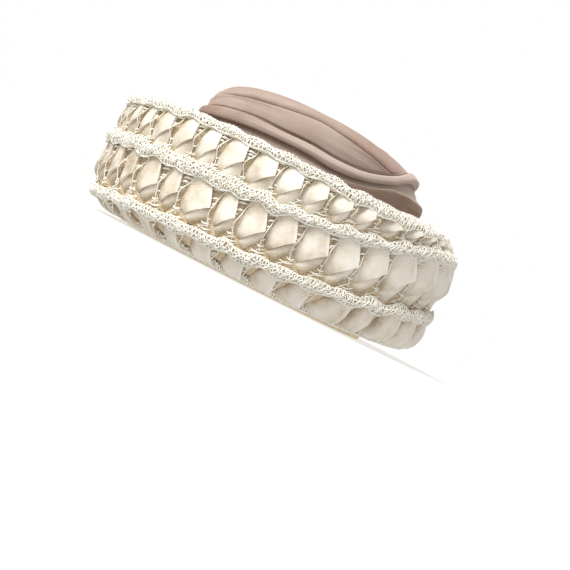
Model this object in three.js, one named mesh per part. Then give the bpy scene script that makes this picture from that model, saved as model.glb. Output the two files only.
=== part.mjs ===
import * as THREE from 'three';

// A breton hat: a soft crown draped in crepe inside a high turned-up brim, which is dressed
// with three rows of folded ribbon between four lines of openwork lace.
// Millimetres, +Z up. The front of the hat is towards -Y and it stands on z = 0.
// A bearing is in degrees, from the front (0) past the wearer's left (90) to the back (180).

// Brim: its section starts flat beside the head opening, turns up, stands and rolls in at the top.
// A run is a length along that section, measured on the line of the lace ridges.
const BRIM_HALF_WIDTH = 141;
const BRIM_HALF_LENGTH = 151;
const FLAT_START_INSET = 50;
const BOTTOM_TURN_RADIUS = 31;
const STANDING_HEIGHT = 48.7;
const TOP_ROLL_RADIUS = 26.5;
const BRIM_WALL = 2;
const BRIM_DEPTH = 7;
const BRIM_COLUMNS = 50;
const TURN_STEPS = 4;
const FOOT_RING = { innerRun: -8, outerRun: 4, rampRun: 5.5 };
const BRIM_EDGE_BELOW_LACE = 1;

// Runs of the four lace lines, which climb from the front of the hat to its back
const ROW_LINE_STEP = 30;
const ROW_LINES = [
  { bearing: 0, bottom: 8, lower: 47, upper: 94, top: 130 },
  { bearing: 30, bottom: 10, lower: 49, upper: 94, top: 132 },
  { bearing: 60, bottom: 13, lower: 52, upper: 94, top: 134 },
  { bearing: 90, bottom: 16, lower: 54.5, upper: 96.5, top: 133 },
  { bearing: 120, bottom: 23, lower: 61.5, upper: 107, top: 135 },
  { bearing: 150, bottom: 34, lower: 73.5, upper: 123, top: 147 },
  { bearing: 180, bottom: 41, lower: 80, upper: 131, top: 157 },
];

// Ribbon rows, each between two lace lines, with the bearing of one fold's free corner
const RIBBON_ROWS = [
  { name: 'ribbon_row_top', from: 'upper', to: 'top', toEdge: 7.6, folds: 41, corner: 76.7, back: 5.6 },
  { name: 'ribbon_row_middle', from: 'lower', to: 'upper', toEdge: 4.6, folds: 37, corner: 101, back: 5.7 },
  { name: 'ribbon_row_bottom', from: 'bottom', to: 'lower', toEdge: 4.6, folds: 32, corner: 102, back: 5.5 },
];
const RIBBON_FROM_EDGE = 4.6;
const RIBBON_LEAST_WALL = 0.4;
const BACK_SHARE = 0.5;
const RIBBON_PUFF = { front: -1.2, side: 0, back: 2.6 };

// Lines up one ribbon fold. Across is a share of the pitch, creaseShare a share of the row's height,
// and each depth is measured in from the line of the lace ridges.
const CREASE_GAP = 0.05;
const GAP_DEPTH = 5;
const FOLD_LINES = [
  { line: 'free edge', lowAcross: -0.21, creaseAcross: 0, highAcross: -0.25,
    creaseShare: 0.54, lowDepth: 4, creaseDepth: 1, highDepth: 3, underCrease: 1.5 },
  { line: 'gap', lowAcross: -0.1, creaseAcross: 0.04, highAcross: -0.14,
    creaseShare: 0.5, lowDepth: 4.6, creaseDepth: GAP_DEPTH, highDepth: 4.6, underCrease: 0.1 },
  { line: 'tucked edge', lowAcross: 0.36, creaseAcross: 0.1, highAcross: 0.16,
    creaseShare: 0.36, lowDepth: 4.4, creaseDepth: 4.2, highDepth: 4.2, underCrease: 0.4 },
  { line: 'middle', lowAcross: 0.6, creaseAcross: 0.54, highAcross: 0.46,
    creaseShare: 0.44, lowDepth: 3.6, creaseDepth: 1.7, highDepth: 2.8, underCrease: 1.2 },
];

// Lace lines: narrow raised strips with one scallop to a ribbon fold
const LACE_LINES = [
  { name: 'lace_edge_top', line: 'top', shift: -3.5, halfWidth: 3.5, crest: -0.4, scallops: 41 },
  { name: 'lace_ridge_upper', line: 'upper', shift: 0, halfWidth: 4, crest: -0.6, scallops: 41 },
  { name: 'lace_ridge_lower', line: 'lower', shift: 0, halfWidth: 4, crest: -0.6, scallops: 37 },
  { name: 'lace_edge_bottom', line: 'bottom', shift: 2, halfWidth: 2, crest: 2.6, scallops: 32 },
];
const LACE_FOOT_DEPTH = 6.2;
const LACE_CREST_SHARE = 0.5;
const SCALLOP_DEPTH = 0.7;

// Crown: an oval wall under a low dome, tucked in below the rolled fold of its drape
const CROWN_CENTRE_Y = 2;
const CROWN_HALF_WIDTH = 86;
const CROWN_HALF_LENGTH = 95;
const CROWN_FOOT_Z = 2.3;
const CROWN_TOP_Z = 150;
const CROWN_FOOT_FLARE = 0.035;
const DOME_SPRING_Z = 118;
const DOME_FULLNESS = 3.2;
const DOME_FLATNESS = 1.6;
const CROWN_WALL = 2.4;
const CROWN_COLUMNS = 42;
const BAND_WALL = 2.6;
const CLOTH_GAP = 0.5;
const SLOPE_PROBE = 0.2;
const PLAIN_WALL_Z = 50;
const BAND_HEM_Z = 60;
const HEM_TUCK = 4;
const ROLL_TUCK = 5;
const UNDER_ROLL = 6;
const ABOVE_ROLL = 0.5;

// Height of the top of the rolled fold, and the soft folds that lie over the crown above it.
// Rise is a share of the height left above the rolled fold, out is how far the cloth stands out.
const ROLL_TOP = { front: 119, side: 111, back: 138 };
const CROWN_FOLDS = [
  { rise: 0.08, out: -0.6 },
  { rise: 0.19, out: 0.9 },
  { rise: 0.31, out: -0.6 },
  { rise: 0.43, out: 1 },
  { rise: 0.53, out: -0.5 },
  { rise: 0.66, out: 0.9 },
  { rise: 0.78, out: -0.3 },
  { rise: 0.9, out: 0.2 },
  { rise: 0.97, out: 0 },
];
const CROWN_INSIDE_RISES = [0.3, 0.6, 0.85, 0.96];

// Drape band, from its hem up to its rolled fold: heights and standing out at front, side and back
const BAND_ROWS = [
  { fold: 'hem', front: BAND_HEM_Z, side: BAND_HEM_Z, back: BAND_HEM_Z, outFront: 3, outSide: 3, outBack: 3 },
  { fold: 'fall', front: 93, side: 88, back: 106, outFront: 4.8, outSide: 4.8, outBack: 11 },
  { fold: 'lower fold', front: 103, side: 97, back: 117, outFront: 5.5, outSide: 5.5, outBack: 13 },
  { fold: 'crease', front: 108.5, side: 102, back: 128, outFront: 3.2, outSide: 3.2, outBack: 4.8 },
  { fold: 'roll', front: 114, side: 107, back: 133.5, outFront: 7.2, outSide: 6.5, outBack: 7.5 },
  { fold: 'roll top', front: 118, side: 110, back: 137, outFront: 4.6, outSide: 4.6, outBack: 4.6 },
];

const radians = THREE.MathUtils.degToRad;

// Point at a bearing and a distance from the middle of the oval
function pointAtBearing(bearing, radius, z, centreY = 0) {
  const angle = radians(bearing);
  return new THREE.Vector3(radius * Math.sin(angle), centreY - radius * Math.cos(angle), z);
}

function ovalRadius(bearing, halfWidth, halfLength) {
  const angle = radians(bearing);
  return halfWidth * halfLength / Math.hypot(halfLength * Math.sin(angle), halfWidth * Math.cos(angle));
}

// Smooth value round the hat from its values at the front, sides and back
function aroundHat(front, side, back, bearing) {
  const angle = radians(bearing);
  const ends = (front + back) / 4;
  return ends + side / 2 + (front - back) / 2 * Math.cos(angle) + (ends - side / 2) * Math.cos(2 * angle);
}

// Inset from the brim's outline, and height, of a place on its section
function brimSection(run, depth) {
  const turnStart = FLAT_START_INSET - BOTTOM_TURN_RADIUS;
  const wallStart = turnStart + BOTTOM_TURN_RADIUS * Math.PI / 2;
  const rollStart = wallStart + STANDING_HEIGHT;
  const rollEnd = rollStart + TOP_ROLL_RADIUS * Math.PI / 2;
  if (run < turnStart) {
    return { inset: FLAT_START_INSET - run, z: depth };
  }
  if (run < wallStart) {
    const turn = (run - turnStart) / BOTTOM_TURN_RADIUS;
    const radius = BOTTOM_TURN_RADIUS - depth;
    return {
      inset: BOTTOM_TURN_RADIUS - radius * Math.sin(turn),
      z: BOTTOM_TURN_RADIUS - radius * Math.cos(turn),
    };
  }
  if (run < rollStart) {
    return { inset: depth, z: BOTTOM_TURN_RADIUS + run - wallStart };
  }
  const roll = (Math.min(run, rollEnd) - rollStart) / TOP_ROLL_RADIUS;
  const radius = TOP_ROLL_RADIUS - depth;
  return {
    inset: TOP_ROLL_RADIUS - radius * Math.cos(roll) + Math.max(0, run - rollEnd),
    z: BOTTOM_TURN_RADIUS + STANDING_HEIGHT + radius * Math.sin(roll),
  };
}

function brimPoint(bearing, run, depth) {
  const { inset, z } = brimSection(run, depth);
  return pointAtBearing(bearing, ovalRadius(bearing, BRIM_HALF_WIDTH, BRIM_HALF_LENGTH) - inset, z);
}

// Run of a lace line at a bearing: a smooth curve through the table, alike on both sides of the hat
function rowLine(line, bearing) {
  const turned = Math.abs(THREE.MathUtils.euclideanModulo(bearing + 180, 360) - 180);
  const last = ROW_LINES.length - 1;
  const index = Math.min(Math.floor(turned / ROW_LINE_STEP), last - 1);
  const share = turned / ROW_LINE_STEP - index;
  const runAt = (row) => ROW_LINES[last - Math.abs(last - Math.abs(row))][line];
  const [before, start, end, after] = [index - 1, index, index + 1, index + 2].map(runAt);
  const startSlope = (end - before) / 2;
  const endSlope = (after - start) / 2;
  const bend = 3 * (end - start) - 2 * startSlope - endSlope;
  const twist = 2 * (start - end) + startSlope + endSlope;
  return start + share * (startSlope + share * (bend + share * twist));
}

// Turns a list of triangles into a geometry with its faces pointing out
function solidGeometry(points, triangles) {
  let volume = 0;
  for (const [a, b, c] of triangles) {
    volume += points[a].dot(new THREE.Vector3().crossVectors(points[b], points[c]));
  }
  const outward = volume > 0 ? triangles : triangles.map(([a, b, c]) => [a, c, b]);
  const geometry = new THREE.BufferGeometry();
  geometry.setFromPoints(points);
  geometry.setIndex(outward.flat());
  geometry.computeVertexNormals();
  return geometry;
}

// Strip of triangles between two rings of points that start at these indices
function ringStrip(ringStart, nextStart, count) {
  const triangles = [];
  for (let i = 0; i < count; i += 1) {
    const j = (i + 1) % count;
    triangles.push([ringStart + i, nextStart + i, nextStart + j]);
    triangles.push([ringStart + i, nextStart + j, ringStart + j]);
  }
  return triangles;
}

// Closed ring swept through sections that each hold the same number of points
function ringSolid(sections) {
  const count = sections[0].length;
  const triangles = sections.flatMap((section, i) => {
    const next = (i + 1) % sections.length;
    return ringStrip(i * count, next * count, count);
  });
  return solidGeometry(sections.flat(), triangles);
}

// Bowl turned mouth down: rings of the outside and of the inside, from the mouth to the top
function bowlSolid(outsideRings, outsideTop, insideRings, insideTop) {
  const count = outsideRings[0].length;
  const rings = [...outsideRings].reverse().concat(insideRings);
  const points = rings.flat().concat(outsideTop, insideTop);
  const triangles = [];
  for (let i = 0; i + 1 < rings.length; i += 1) {
    triangles.push(...ringStrip(i * count, (i + 1) * count, count));
  }
  const lastStart = (rings.length - 1) * count;
  const topIndex = rings.length * count;
  for (let i = 0; i < count; i += 1) {
    const j = (i + 1) % count;
    triangles.push([topIndex, i, j]);
    triangles.push([topIndex + 1, lastStart + j, lastStart + i]);
  }
  return solidGeometry(points, triangles);
}

function bearings(count) {
  return Array.from({ length: count }, (_, i) => 360 * i / count);
}

// Evenly spaced runs from one place to another, with both ends
function runSteps(from, to, steps) {
  return Array.from({ length: steps + 1 }, (_, i) => from + (to - from) * i / steps);
}

// Brim wall: a foot ring that the hat stands on, a step up to the dressed part, the turn and the roll
function brimGeometry() {
  const turnStart = FLAT_START_INSET - BOTTOM_TURN_RADIUS;
  const wallStart = turnStart + BOTTOM_TURN_RADIUS * Math.PI / 2;
  const rollStart = wallStart + STANDING_HEIGHT;
  const sections = bearings(BRIM_COLUMNS).map((bearing) => {
    const topRun = rowLine('top', bearing) - BRIM_EDGE_BELOW_LACE;
    const runsUp = (steps) => [
      ...runSteps(turnStart, wallStart, steps),
      ...runSteps(rollStart, topRun, steps),
    ];
    const outside = [
      [FOOT_RING.innerRun, 0],
      [FOOT_RING.outerRun, 0],
      [FOOT_RING.rampRun, BRIM_DEPTH],
      ...runsUp(TURN_STEPS).map((run) => [run, BRIM_DEPTH]),
    ];
    const inside = [
      [FOOT_RING.innerRun, BRIM_WALL],
      [FOOT_RING.outerRun - BRIM_WALL, BRIM_WALL],
      [FOOT_RING.rampRun - BRIM_WALL, BRIM_DEPTH + BRIM_WALL],
      ...runsUp(TURN_STEPS - 1).map((run) => [run, BRIM_DEPTH + BRIM_WALL]),
    ];
    return outside.concat(inside.reverse()).map(([run, depth]) => brimPoint(bearing, run, depth));
  });
  return ringSolid(sections);
}

// Section of a ribbon row along one line of a fold: lower end, crease, upper end and back
function foldSection(row, foldBearing, foldLine) {
  const pitch = 360 / row.folds;
  const lowBearing = foldBearing + foldLine.lowAcross * pitch;
  const creaseBearing = foldBearing + foldLine.creaseAcross * pitch;
  const highBearing = foldBearing + foldLine.highAcross * pitch;
  const lowRun = (bearing) => rowLine(row.from, bearing) + RIBBON_FROM_EDGE;
  const highRun = (bearing) => rowLine(row.to, bearing) - row.toEdge;
  const runAt = (bearing, share) => THREE.MathUtils.lerp(lowRun(bearing), highRun(bearing), share);
  const underShare = foldLine.creaseShare - CREASE_GAP;
  const puff = aroundHat(RIBBON_PUFF.front, RIBBON_PUFF.side, RIBBON_PUFF.back, foldBearing);
  const puffed = (depth) => depth - puff * Math.max(0, 1 - depth / GAP_DEPTH);
  const underDepth = Math.min(foldLine.creaseDepth + foldLine.underCrease, row.back - RIBBON_LEAST_WALL);
  return [
    brimPoint(lowBearing, lowRun(lowBearing), puffed(foldLine.lowDepth)),
    brimPoint(creaseBearing, runAt(creaseBearing, underShare), puffed(underDepth)),
    brimPoint(creaseBearing, runAt(creaseBearing, foldLine.creaseShare), puffed(foldLine.creaseDepth)),
    brimPoint(highBearing, highRun(highBearing), puffed(foldLine.highDepth)),
    brimPoint(creaseBearing, runAt(creaseBearing, BACK_SHARE), row.back),
  ];
}

function ribbonRowGeometry(row) {
  const sections = [];
  for (let fold = 0; fold < row.folds; fold += 1) {
    const foldBearing = row.corner + 360 * fold / row.folds;
    for (const foldLine of FOLD_LINES) {
      sections.push(foldSection(row, foldBearing, foldLine));
    }
  }
  return ringSolid(sections);
}

// Lace strip: two feet on the brim and two crests, wide and narrow by turns round the hat
function laceGeometry(lace) {
  const sections = bearings(2 * lace.scallops).map((bearing, i) => {
    const scallop = (i % 2) * SCALLOP_DEPTH;
    const run = rowLine(lace.line, bearing) + lace.shift;
    const halfWidth = lace.halfWidth - scallop;
    const crestHalf = halfWidth * LACE_CREST_SHARE;
    return [
      brimPoint(bearing, run - halfWidth, LACE_FOOT_DEPTH),
      brimPoint(bearing, run - crestHalf, lace.crest + scallop),
      brimPoint(bearing, run + crestHalf, lace.crest + scallop),
      brimPoint(bearing, run + halfWidth, LACE_FOOT_DEPTH),
    ];
  });
  return ringSolid(sections);
}

// Share of the crown's full oval at a height
function crownShare(z) {
  if (z < DOME_SPRING_Z) {
    return 1 + CROWN_FOOT_FLARE * (DOME_SPRING_Z - z) / (DOME_SPRING_Z - CROWN_FOOT_Z);
  }
  const climb = Math.min(1, (z - DOME_SPRING_Z) / (CROWN_TOP_Z - DOME_SPRING_Z));
  return (1 - climb ** DOME_FULLNESS) ** (1 / DOME_FLATNESS);
}

// Point of the crown at a bearing and height, moved out along the surface's own normal
function crownPoint(bearing, z, out) {
  const fullRadius = ovalRadius(bearing, CROWN_HALF_WIDTH, CROWN_HALF_LENGTH);
  const slope = fullRadius * (crownShare(z + SLOPE_PROBE) - crownShare(z - SLOPE_PROBE)) / (2 * SLOPE_PROBE);
  const length = Math.hypot(1, slope);
  const radius = fullRadius * crownShare(z) + out / length;
  return pointAtBearing(bearing, radius, z - out * slope / length, CROWN_CENTRE_Y);
}

function rollTop(bearing) {
  return aroundHat(ROLL_TOP.front, ROLL_TOP.side, ROLL_TOP.back, bearing);
}

// Height at a share of the way from the rolled fold to the top of the crown
function riseHeight(bearing, rise) {
  return THREE.MathUtils.lerp(rollTop(bearing), CROWN_TOP_Z, rise);
}

// Crown shell: plain wall below, tucked in behind the drape band, softly folded dome above
function crownGeometry() {
  const columns = bearings(CROWN_COLUMNS);
  const ring = (heightAt, out) => columns.map((bearing) => crownPoint(bearing, heightAt(bearing), out));
  const wallLevels = [
    { heightAt: () => CROWN_FOOT_Z, tuck: 0 },
    { heightAt: () => PLAIN_WALL_Z, tuck: 0 },
    { heightAt: () => BAND_HEM_Z - CLOTH_GAP, tuck: HEM_TUCK },
    { heightAt: (bearing) => rollTop(bearing) - UNDER_ROLL, tuck: ROLL_TUCK },
    { heightAt: (bearing) => rollTop(bearing) + ABOVE_ROLL, tuck: ROLL_TUCK },
  ];
  const outsideRings = wallLevels.map((level) => ring(level.heightAt, -level.tuck));
  for (const fold of CROWN_FOLDS) {
    outsideRings.push(ring((bearing) => riseHeight(bearing, fold.rise), fold.out));
  }
  const insideRings = wallLevels.map((level) => ring(level.heightAt, -level.tuck - CROWN_WALL));
  for (const rise of CROWN_INSIDE_RISES) {
    insideRings.push(ring((bearing) => riseHeight(bearing, rise), -CROWN_WALL));
  }
  const outsideTop = new THREE.Vector3(0, CROWN_CENTRE_Y, CROWN_TOP_Z);
  const insideTop = new THREE.Vector3(0, CROWN_CENTRE_Y, CROWN_TOP_Z - CROWN_WALL);
  return bowlSolid(outsideRings, outsideTop, insideRings, insideTop);
}

// Drape band: cloth that lies on the tucked wall and is folded outwards, with the rolled fold on top
function drapeBandGeometry() {
  const sections = bearings(CROWN_COLUMNS).map((bearing) => {
    const places = BAND_ROWS.map((row) => ({
      z: aroundHat(row.front, row.side, row.back, bearing),
      out: aroundHat(row.outFront, row.outSide, row.outBack, bearing) - ROLL_TUCK,
    }));
    const outside = places.map(({ z, out }) => crownPoint(bearing, z, out));
    const lowerFold = places[BAND_ROWS.findIndex((row) => row.fold === 'lower fold')];
    const inside = [
      crownPoint(bearing, rollTop(bearing) - 2 * CLOTH_GAP, CLOTH_GAP - ROLL_TUCK),
      crownPoint(bearing, rollTop(bearing) - UNDER_ROLL, CLOTH_GAP - ROLL_TUCK),
      crownPoint(bearing, lowerFold.z, lowerFold.out - BAND_WALL),
      crownPoint(bearing, BAND_HEM_Z, CLOTH_GAP - HEM_TUCK),
    ];
    return outside.concat(inside);
  });
  return ringSolid(sections);
}

function finish(color, roughness) {
  return new THREE.MeshStandardMaterial({ color, roughness, metalness: 0 });
}

function piece(name, geometry, material) {
  const mesh = new THREE.Mesh(geometry, material);
  mesh.name = name;
  return mesh;
}

const hat = new THREE.Group();
hat.add(piece('crown', crownGeometry(), finish('#a88f83', 0.9)));
hat.add(piece('drape_band', drapeBandGeometry(), finish('#8e7268', 0.9)));
hat.add(piece('brim', brimGeometry(), finish('#b9a684', 0.85)));
for (const row of RIBBON_ROWS) {
  hat.add(piece(row.name, ribbonRowGeometry(row), finish('#e6dccb', 0.55)));
}
for (const lace of LACE_LINES) {
  hat.add(piece(lace.name, laceGeometry(lace), finish('#f4eedb', 0.4)));
}

export default hat;
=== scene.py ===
import math

import bpy
import numpy as np
from mathutils import Matrix


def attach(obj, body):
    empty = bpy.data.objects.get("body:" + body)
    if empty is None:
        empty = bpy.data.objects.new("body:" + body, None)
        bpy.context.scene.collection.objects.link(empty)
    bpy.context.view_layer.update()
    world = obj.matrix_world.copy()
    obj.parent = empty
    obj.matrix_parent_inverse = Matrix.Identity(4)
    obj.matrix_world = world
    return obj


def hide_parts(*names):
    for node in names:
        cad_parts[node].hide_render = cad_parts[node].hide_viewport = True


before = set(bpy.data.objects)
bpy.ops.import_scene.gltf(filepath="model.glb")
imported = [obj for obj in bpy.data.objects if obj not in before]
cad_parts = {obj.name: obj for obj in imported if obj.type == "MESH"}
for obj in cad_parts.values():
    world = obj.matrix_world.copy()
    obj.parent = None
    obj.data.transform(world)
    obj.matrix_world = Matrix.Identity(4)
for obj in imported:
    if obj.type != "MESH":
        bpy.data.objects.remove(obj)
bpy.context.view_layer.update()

# Sizes are in millimetres, as in the hat's own drawing, and MM turns them into metres.
# A bearing is in degrees, from the front of the hat (0) past its left side (90) to the back (180).
MM = 0.001

# Brim section: flat beside the head opening, a turn, a standing wall and a rolled-in top
BRIM_HALF_WIDTH = 141.0
BRIM_HALF_LENGTH = 151.0
FLAT_START_INSET = 50.0
BOTTOM_TURN_RADIUS = 31.0
STANDING_HEIGHT = 48.7
TOP_ROLL_RADIUS = 26.5
TURN_START = FLAT_START_INSET - BOTTOM_TURN_RADIUS
WALL_START = TURN_START + BOTTOM_TURN_RADIUS * math.pi / 2
ROLL_START = WALL_START + STANDING_HEIGHT
ROLL_END = ROLL_START + TOP_ROLL_RADIUS * math.pi / 2
BRIM_DEPTH = 7.0
BRIM_WALL = 2.0
SEWN_DEPTH = 7.4
FOOT_INNER_RUN = -8.0
FOOT_MIDDLE_RUN = -2.0
FOOT_OUTER_RUN = 4.0
FOOT_EDGE_RUN = 0.6
FOOT_EDGE_DEPTH = 0.5
FOOT_RAMP_RUN = 5.5
FLAT_MIDDLE_RUN = 12.0
BRIM_EDGE_BELOW_LACE = 1.0
BRIM_COLUMNS = 260
BRIM_STEPS = 14
BRIM_MM_A_DEGREE = 2.55

# Runs of the four lace lines up the brim's section, every 30 degrees of bearing
ROW_LINE_STEP = 30.0
ROW_LINES = {
    "bottom": [8.0, 10.0, 13.0, 16.0, 23.0, 34.0, 41.0],
    "lower": [47.0, 49.0, 52.0, 54.5, 61.5, 73.5, 80.0],
    "upper": [94.0, 94.0, 94.0, 96.5, 107.0, 123.0, 131.0],
    "top": [130.0, 132.0, 134.0, 133.0, 135.0, 147.0, 157.0],
}

# Ribbon rows between two lace lines: how far the row keeps inside them, how far its folds puff out and their
# feet lie in at the front, side and back, the number of folds, the bearing of one free corner, and the steps
# from it to the next corners, where they are uneven
RIBBON_ROWS = [
    {"name": "ribbon_row_top", "low": "upper", "high": "top", "low_edge": 4.2, "high_edge": 7.4,
     "puff": (-1.2, 0.0, 0.6), "foot_in": (0.0, 0.0, 0.0), "folds": 41, "first": 40.7,
     "steps": [9.4, 9.3, 8.3, 9.3, 9.7, 8.3, 8.3, 8.4, 8.0], "seed": 51},
    {"name": "ribbon_row_middle", "low": "lower", "high": "upper", "low_edge": 4.2, "high_edge": 4.2,
     "puff": (-1.2, 0.0, 2.6), "foot_in": (2.6, 0.8, 0.6), "folds": 37, "first": 55.1,
     "steps": [7.7, 11.4, 7.7, 9.4, 9.0, 9.9, 9.8, 9.6, 11.6, 11.6], "seed": 52},
    {"name": "ribbon_row_bottom", "low": "bottom", "high": "lower", "low_edge": 4.2, "high_edge": 4.2,
     "puff": (-1.2, 0.0, 2.6), "foot_in": (0.0, 0.0, 0.0), "folds": 32, "first": 79.3,
     "steps": [11.2, 10.7, 10.5, 13.6], "seed": 53},
]
RIBBON_THICK = 0.5
PUFF_DEPTH = 5.0
STEP_SPREAD = 0.22

# Edges of one ribbon fold in each row. Across is a share of the fold's pitch back from its free corner, up is
# a share of the row's height, depth is in from the line of the lace ridges. The shades are painted shade in
# the ribbon's colour: on a fold's tucked side where the fold before it shades it, on its free edge, its foot
# and on the folds towards the back, and painted light where they are negative. Narrow says whether the folds
# get narrower towards the back, where the top row also gets less painted shade.
FOLD_EDGES = {
    "ribbon_row_top": {
        "shade": 0.38, "free_edge_painted_shading": -0.3, "foot_painted_shading": -0.05, "back_painted_shading": 0.0, "narrow": 1.0,
        "left": {"across": [-0.62, -0.88, -1.00, -0.87, -0.72], "up": [0.07, 0.11, 0.32, 0.66, 1.10],
                 "depth": [7.2, 8.0, 7.8, 6.8, 5.4]},
        "right": {"across": [0.0, -0.02, -0.05, -0.09, -0.13], "up": [0.52, 0.65, 0.80, 0.96, 1.12],
                  "depth": [0.3, 0.7, 1.3, 2.1, 3.0]},
        "under_left": {"across": [-0.62, -0.66, -0.64, -0.58], "up": [0.14, 0.07, -0.02, -0.12]},
        "under_right": {"across": [-0.01, 0.03, 0.03, -0.10], "up": [0.58, 0.40, 0.18, -0.08]},
    },
    "ribbon_row_middle": {
        "shade": 0.85, "free_edge_painted_shading": 0.12, "foot_painted_shading": 0.9, "back_painted_shading": -0.28, "narrow": 0.0,
        "left": {"across": [-0.68, -0.88, -0.97, -0.955, -0.90], "up": [0.14, 0.20, 0.36, 0.70, 1.12],
                 "depth": [7.2, 8.0, 7.8, 6.8, 5.4]},
        "right": {"across": [0.0, -0.05, -0.13, -0.22, -0.27], "up": [0.52, 0.65, 0.80, 0.96, 1.12],
                  "depth": [0.3, 0.8, 1.5, 2.4, 3.4]},
        "under_left": {"across": [-0.66, -0.69, -0.64, -0.46], "up": [0.21, 0.12, 0.02, -0.09]},
        "under_right": {"across": [-0.01, 0.01, -0.06, -0.33], "up": [0.58, 0.43, 0.22, -0.06]},
    },
    "ribbon_row_bottom": {
        "shade": 0.85, "free_edge_painted_shading": 0.08, "foot_painted_shading": 0.1, "back_painted_shading": 0.0, "narrow": 0.0,
        "left": {"across": [-0.80, -0.86, -0.80, -0.69, -0.55], "up": [-0.08, 0.03, 0.32, 0.64, 1.10],
                 "depth": [7.6, 7.8, 7.8, 6.8, 5.4]},
        "right": {"across": [0.08, 0.04, 0.0, -0.03, -0.07], "up": [0.12, 0.36, 0.60, 0.84, 1.10],
                  "depth": [1.5, 1.0, 1.0, 1.8, 3.0]},
        "under_left": {"across": [-0.76, -0.75, -0.70, -0.62], "up": [0.0, -0.05, -0.10, -0.16]},
        "under_right": {"across": [0.06, 0.04, -0.02, -0.12], "up": [0.18, 0.08, -0.04, -0.14]},
    },
}
# Depth of a fold's turned-under part, from its left edge to its right and from the crease down
LOWER_DEPTHS = [[7.6, 4.9, 2.9, 2.2, 2.3],
                [7.2, 4.4, 3.0, 2.9, 3.5],
                [7.0, 4.6, 3.8, 4.0, 5.0],
                [7.2, 6.0, 5.6, 5.9, 6.8]]
FOOT_DEPTH = 7.2
UPPER_GRID = (17, 15)
LOWER_GRID = (15, 11)
# Stretch of woven cloth on each fold: start along the ribbon, width and length, and the step to the next fold
UPPER_CLOTH = (0.0, 19.0, 30.0)
LOWER_CLOTH = (11.0, 19.0, 16.0)
FOLD_CLOTH_STEP = 37.0
# How much darker the front folds are, how much lighter a woven edge is as a painted highlight and a
# turned-under strip as painted light, and how much painted shade darkens the turned-under part at its crease
# and its free edge
FRONT_DARKENING = 0.55
WOVEN_EDGE_PAINTED_HIGHLIGHT = 0.6
STRIP_PAINTED_LIGHT = -0.25
CREASE_PAINTED_SHADE = 0.55
UNDER_EDGE_PAINTED_SHADE = 0.3

# Strands along the folds' edges: values across, up and in, the number of places along them, and their sway
LONG_STRANDS = [
    ([0.22, 0.13, 0.03, 0.05, 0.13], [1.02, 0.78, 0.53, 0.30, 0.06], [4.6, 4.2, 1.6, 4.6, 5.6], 24, 0.024),
    ([-0.20, -0.06, 0.07, 0.20], [-0.02, 0.06, 0.12, 0.17], [5.4, 4.8, 4.8, 5.6], 14, 0.03),
]
# Short strands over the upper and the lower gaps: each one's up, start and end, then lifts, depths and
# thickness
SHORT_STRANDS = [
    ([(0.90, -0.20, 0.17), (0.76, -0.11, 0.13), (0.64, -0.05, 0.08)],
     (-0.03, 0.01, 0.02), (5.2, 3.6, 4.6), 1.0),
    ([(-0.03, -0.12, 0.30), (0.05, -0.18, 0.34), (0.20, -0.06, 0.2), (0.36, -0.02, 0.1)],
     (0.02, -0.02, 0.03), (6.0, 4.6, 5.8), 0.85),
]
STRAND_RADIUS = 0.46
STRAND_SPREAD = 0.012
SHORT_STRAND_SPREAD = 0.03
SHORT_STRAND_RADII = np.array([0.45, 0.7, 0.85, 0.95, 0.85, 0.7, 0.45])

# Lace lines: place, half width and how it changes at the back and the side, swing of the scalloped edges,
# depth of the crest, share of the width that is sewn down, rows above and below
LACE_LINES = [
    {"name": "lace_edge_top", "line": "top", "shift": -3.4, "half": 3.9, "back_half": 2.4,
     "side_slim": 0.0, "scallop": 1.8, "crest": -0.3, "foot": 0.7,
     "above": "top", "below": "top", "seed": 11},
    {"name": "lace_ridge_upper", "line": "upper", "shift": 0.0, "half": 4.9, "back_half": 0.6,
     "side_slim": 1.8, "scallop": 2.4, "crest": -0.6, "foot": 0.7,
     "above": "top", "below": "middle", "seed": 12},
    {"name": "lace_ridge_lower", "line": "lower", "shift": -1.2, "half": 4.2, "back_half": 0.0,
     "side_slim": 0.0, "scallop": 2.2, "crest": -0.6, "foot": 0.7,
     "above": "middle", "below": "bottom", "seed": 13},
    {"name": "lace_edge_bottom", "line": "bottom", "shift": 1.6, "half": 3.2, "back_half": 0.0,
     "side_slim": 0.0, "scallop": 1.4, "crest": 2.0, "foot": 1.3,
     "above": "bottom", "below": "bottom", "seed": 14},
]
LACE_EDGE_DROP = 2.1
LACE_EDGE = 0.98
LACE_DRIFT = 0.14
LACE_ROUND = 360.0 * BRIM_MM_A_DEGREE
PLAIN_CORD_PLACES = 900
PLAIN_CORD_RADIUS = 0.62
PICOT_PLACES = 6
PICOT_CORD_RADIUS = 0.46
ZIGZAG_PERIOD = 7.4
ZIGZAG_PLACES = 9
LACE_THREAD_RADIUS = 0.5
EYELET_SPACING = 3.25
EYELET_COUNT = int(LACE_ROUND / EYELET_SPACING)
EYELET_PLACES = 10
EYELET_ROWS = [-0.62, 0.0, 0.62]
BED_COLUMNS = 360
BED_SHARES = np.array([-0.98, -0.8, -0.5, -0.2, 0.2, 0.5, 0.8, 0.98])[:, None]
BED_LIFT = -1.25

# Crown: an oval wall under a low dome
CROWN_CENTRE_Y = 2.0
CROWN_HALF_WIDTH = 86.0
CROWN_HALF_LENGTH = 95.0
CROWN_FOOT_Z = 2.3
CROWN_TOP_Z = 150.0
CROWN_FOOT_FLARE = 0.035
DOME_SPRING_Z = 118.0
DOME_FULLNESS = 3.2
DOME_FLATNESS = 1.6
CROWN_WALL = 2.4
CROWN_COLUMNS = 320
CROWN_MM_A_DEGREE = 1.58
WALL_TUCKS_IN_Z = 50.0
BAND_STARTS_Z = 60.0

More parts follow.
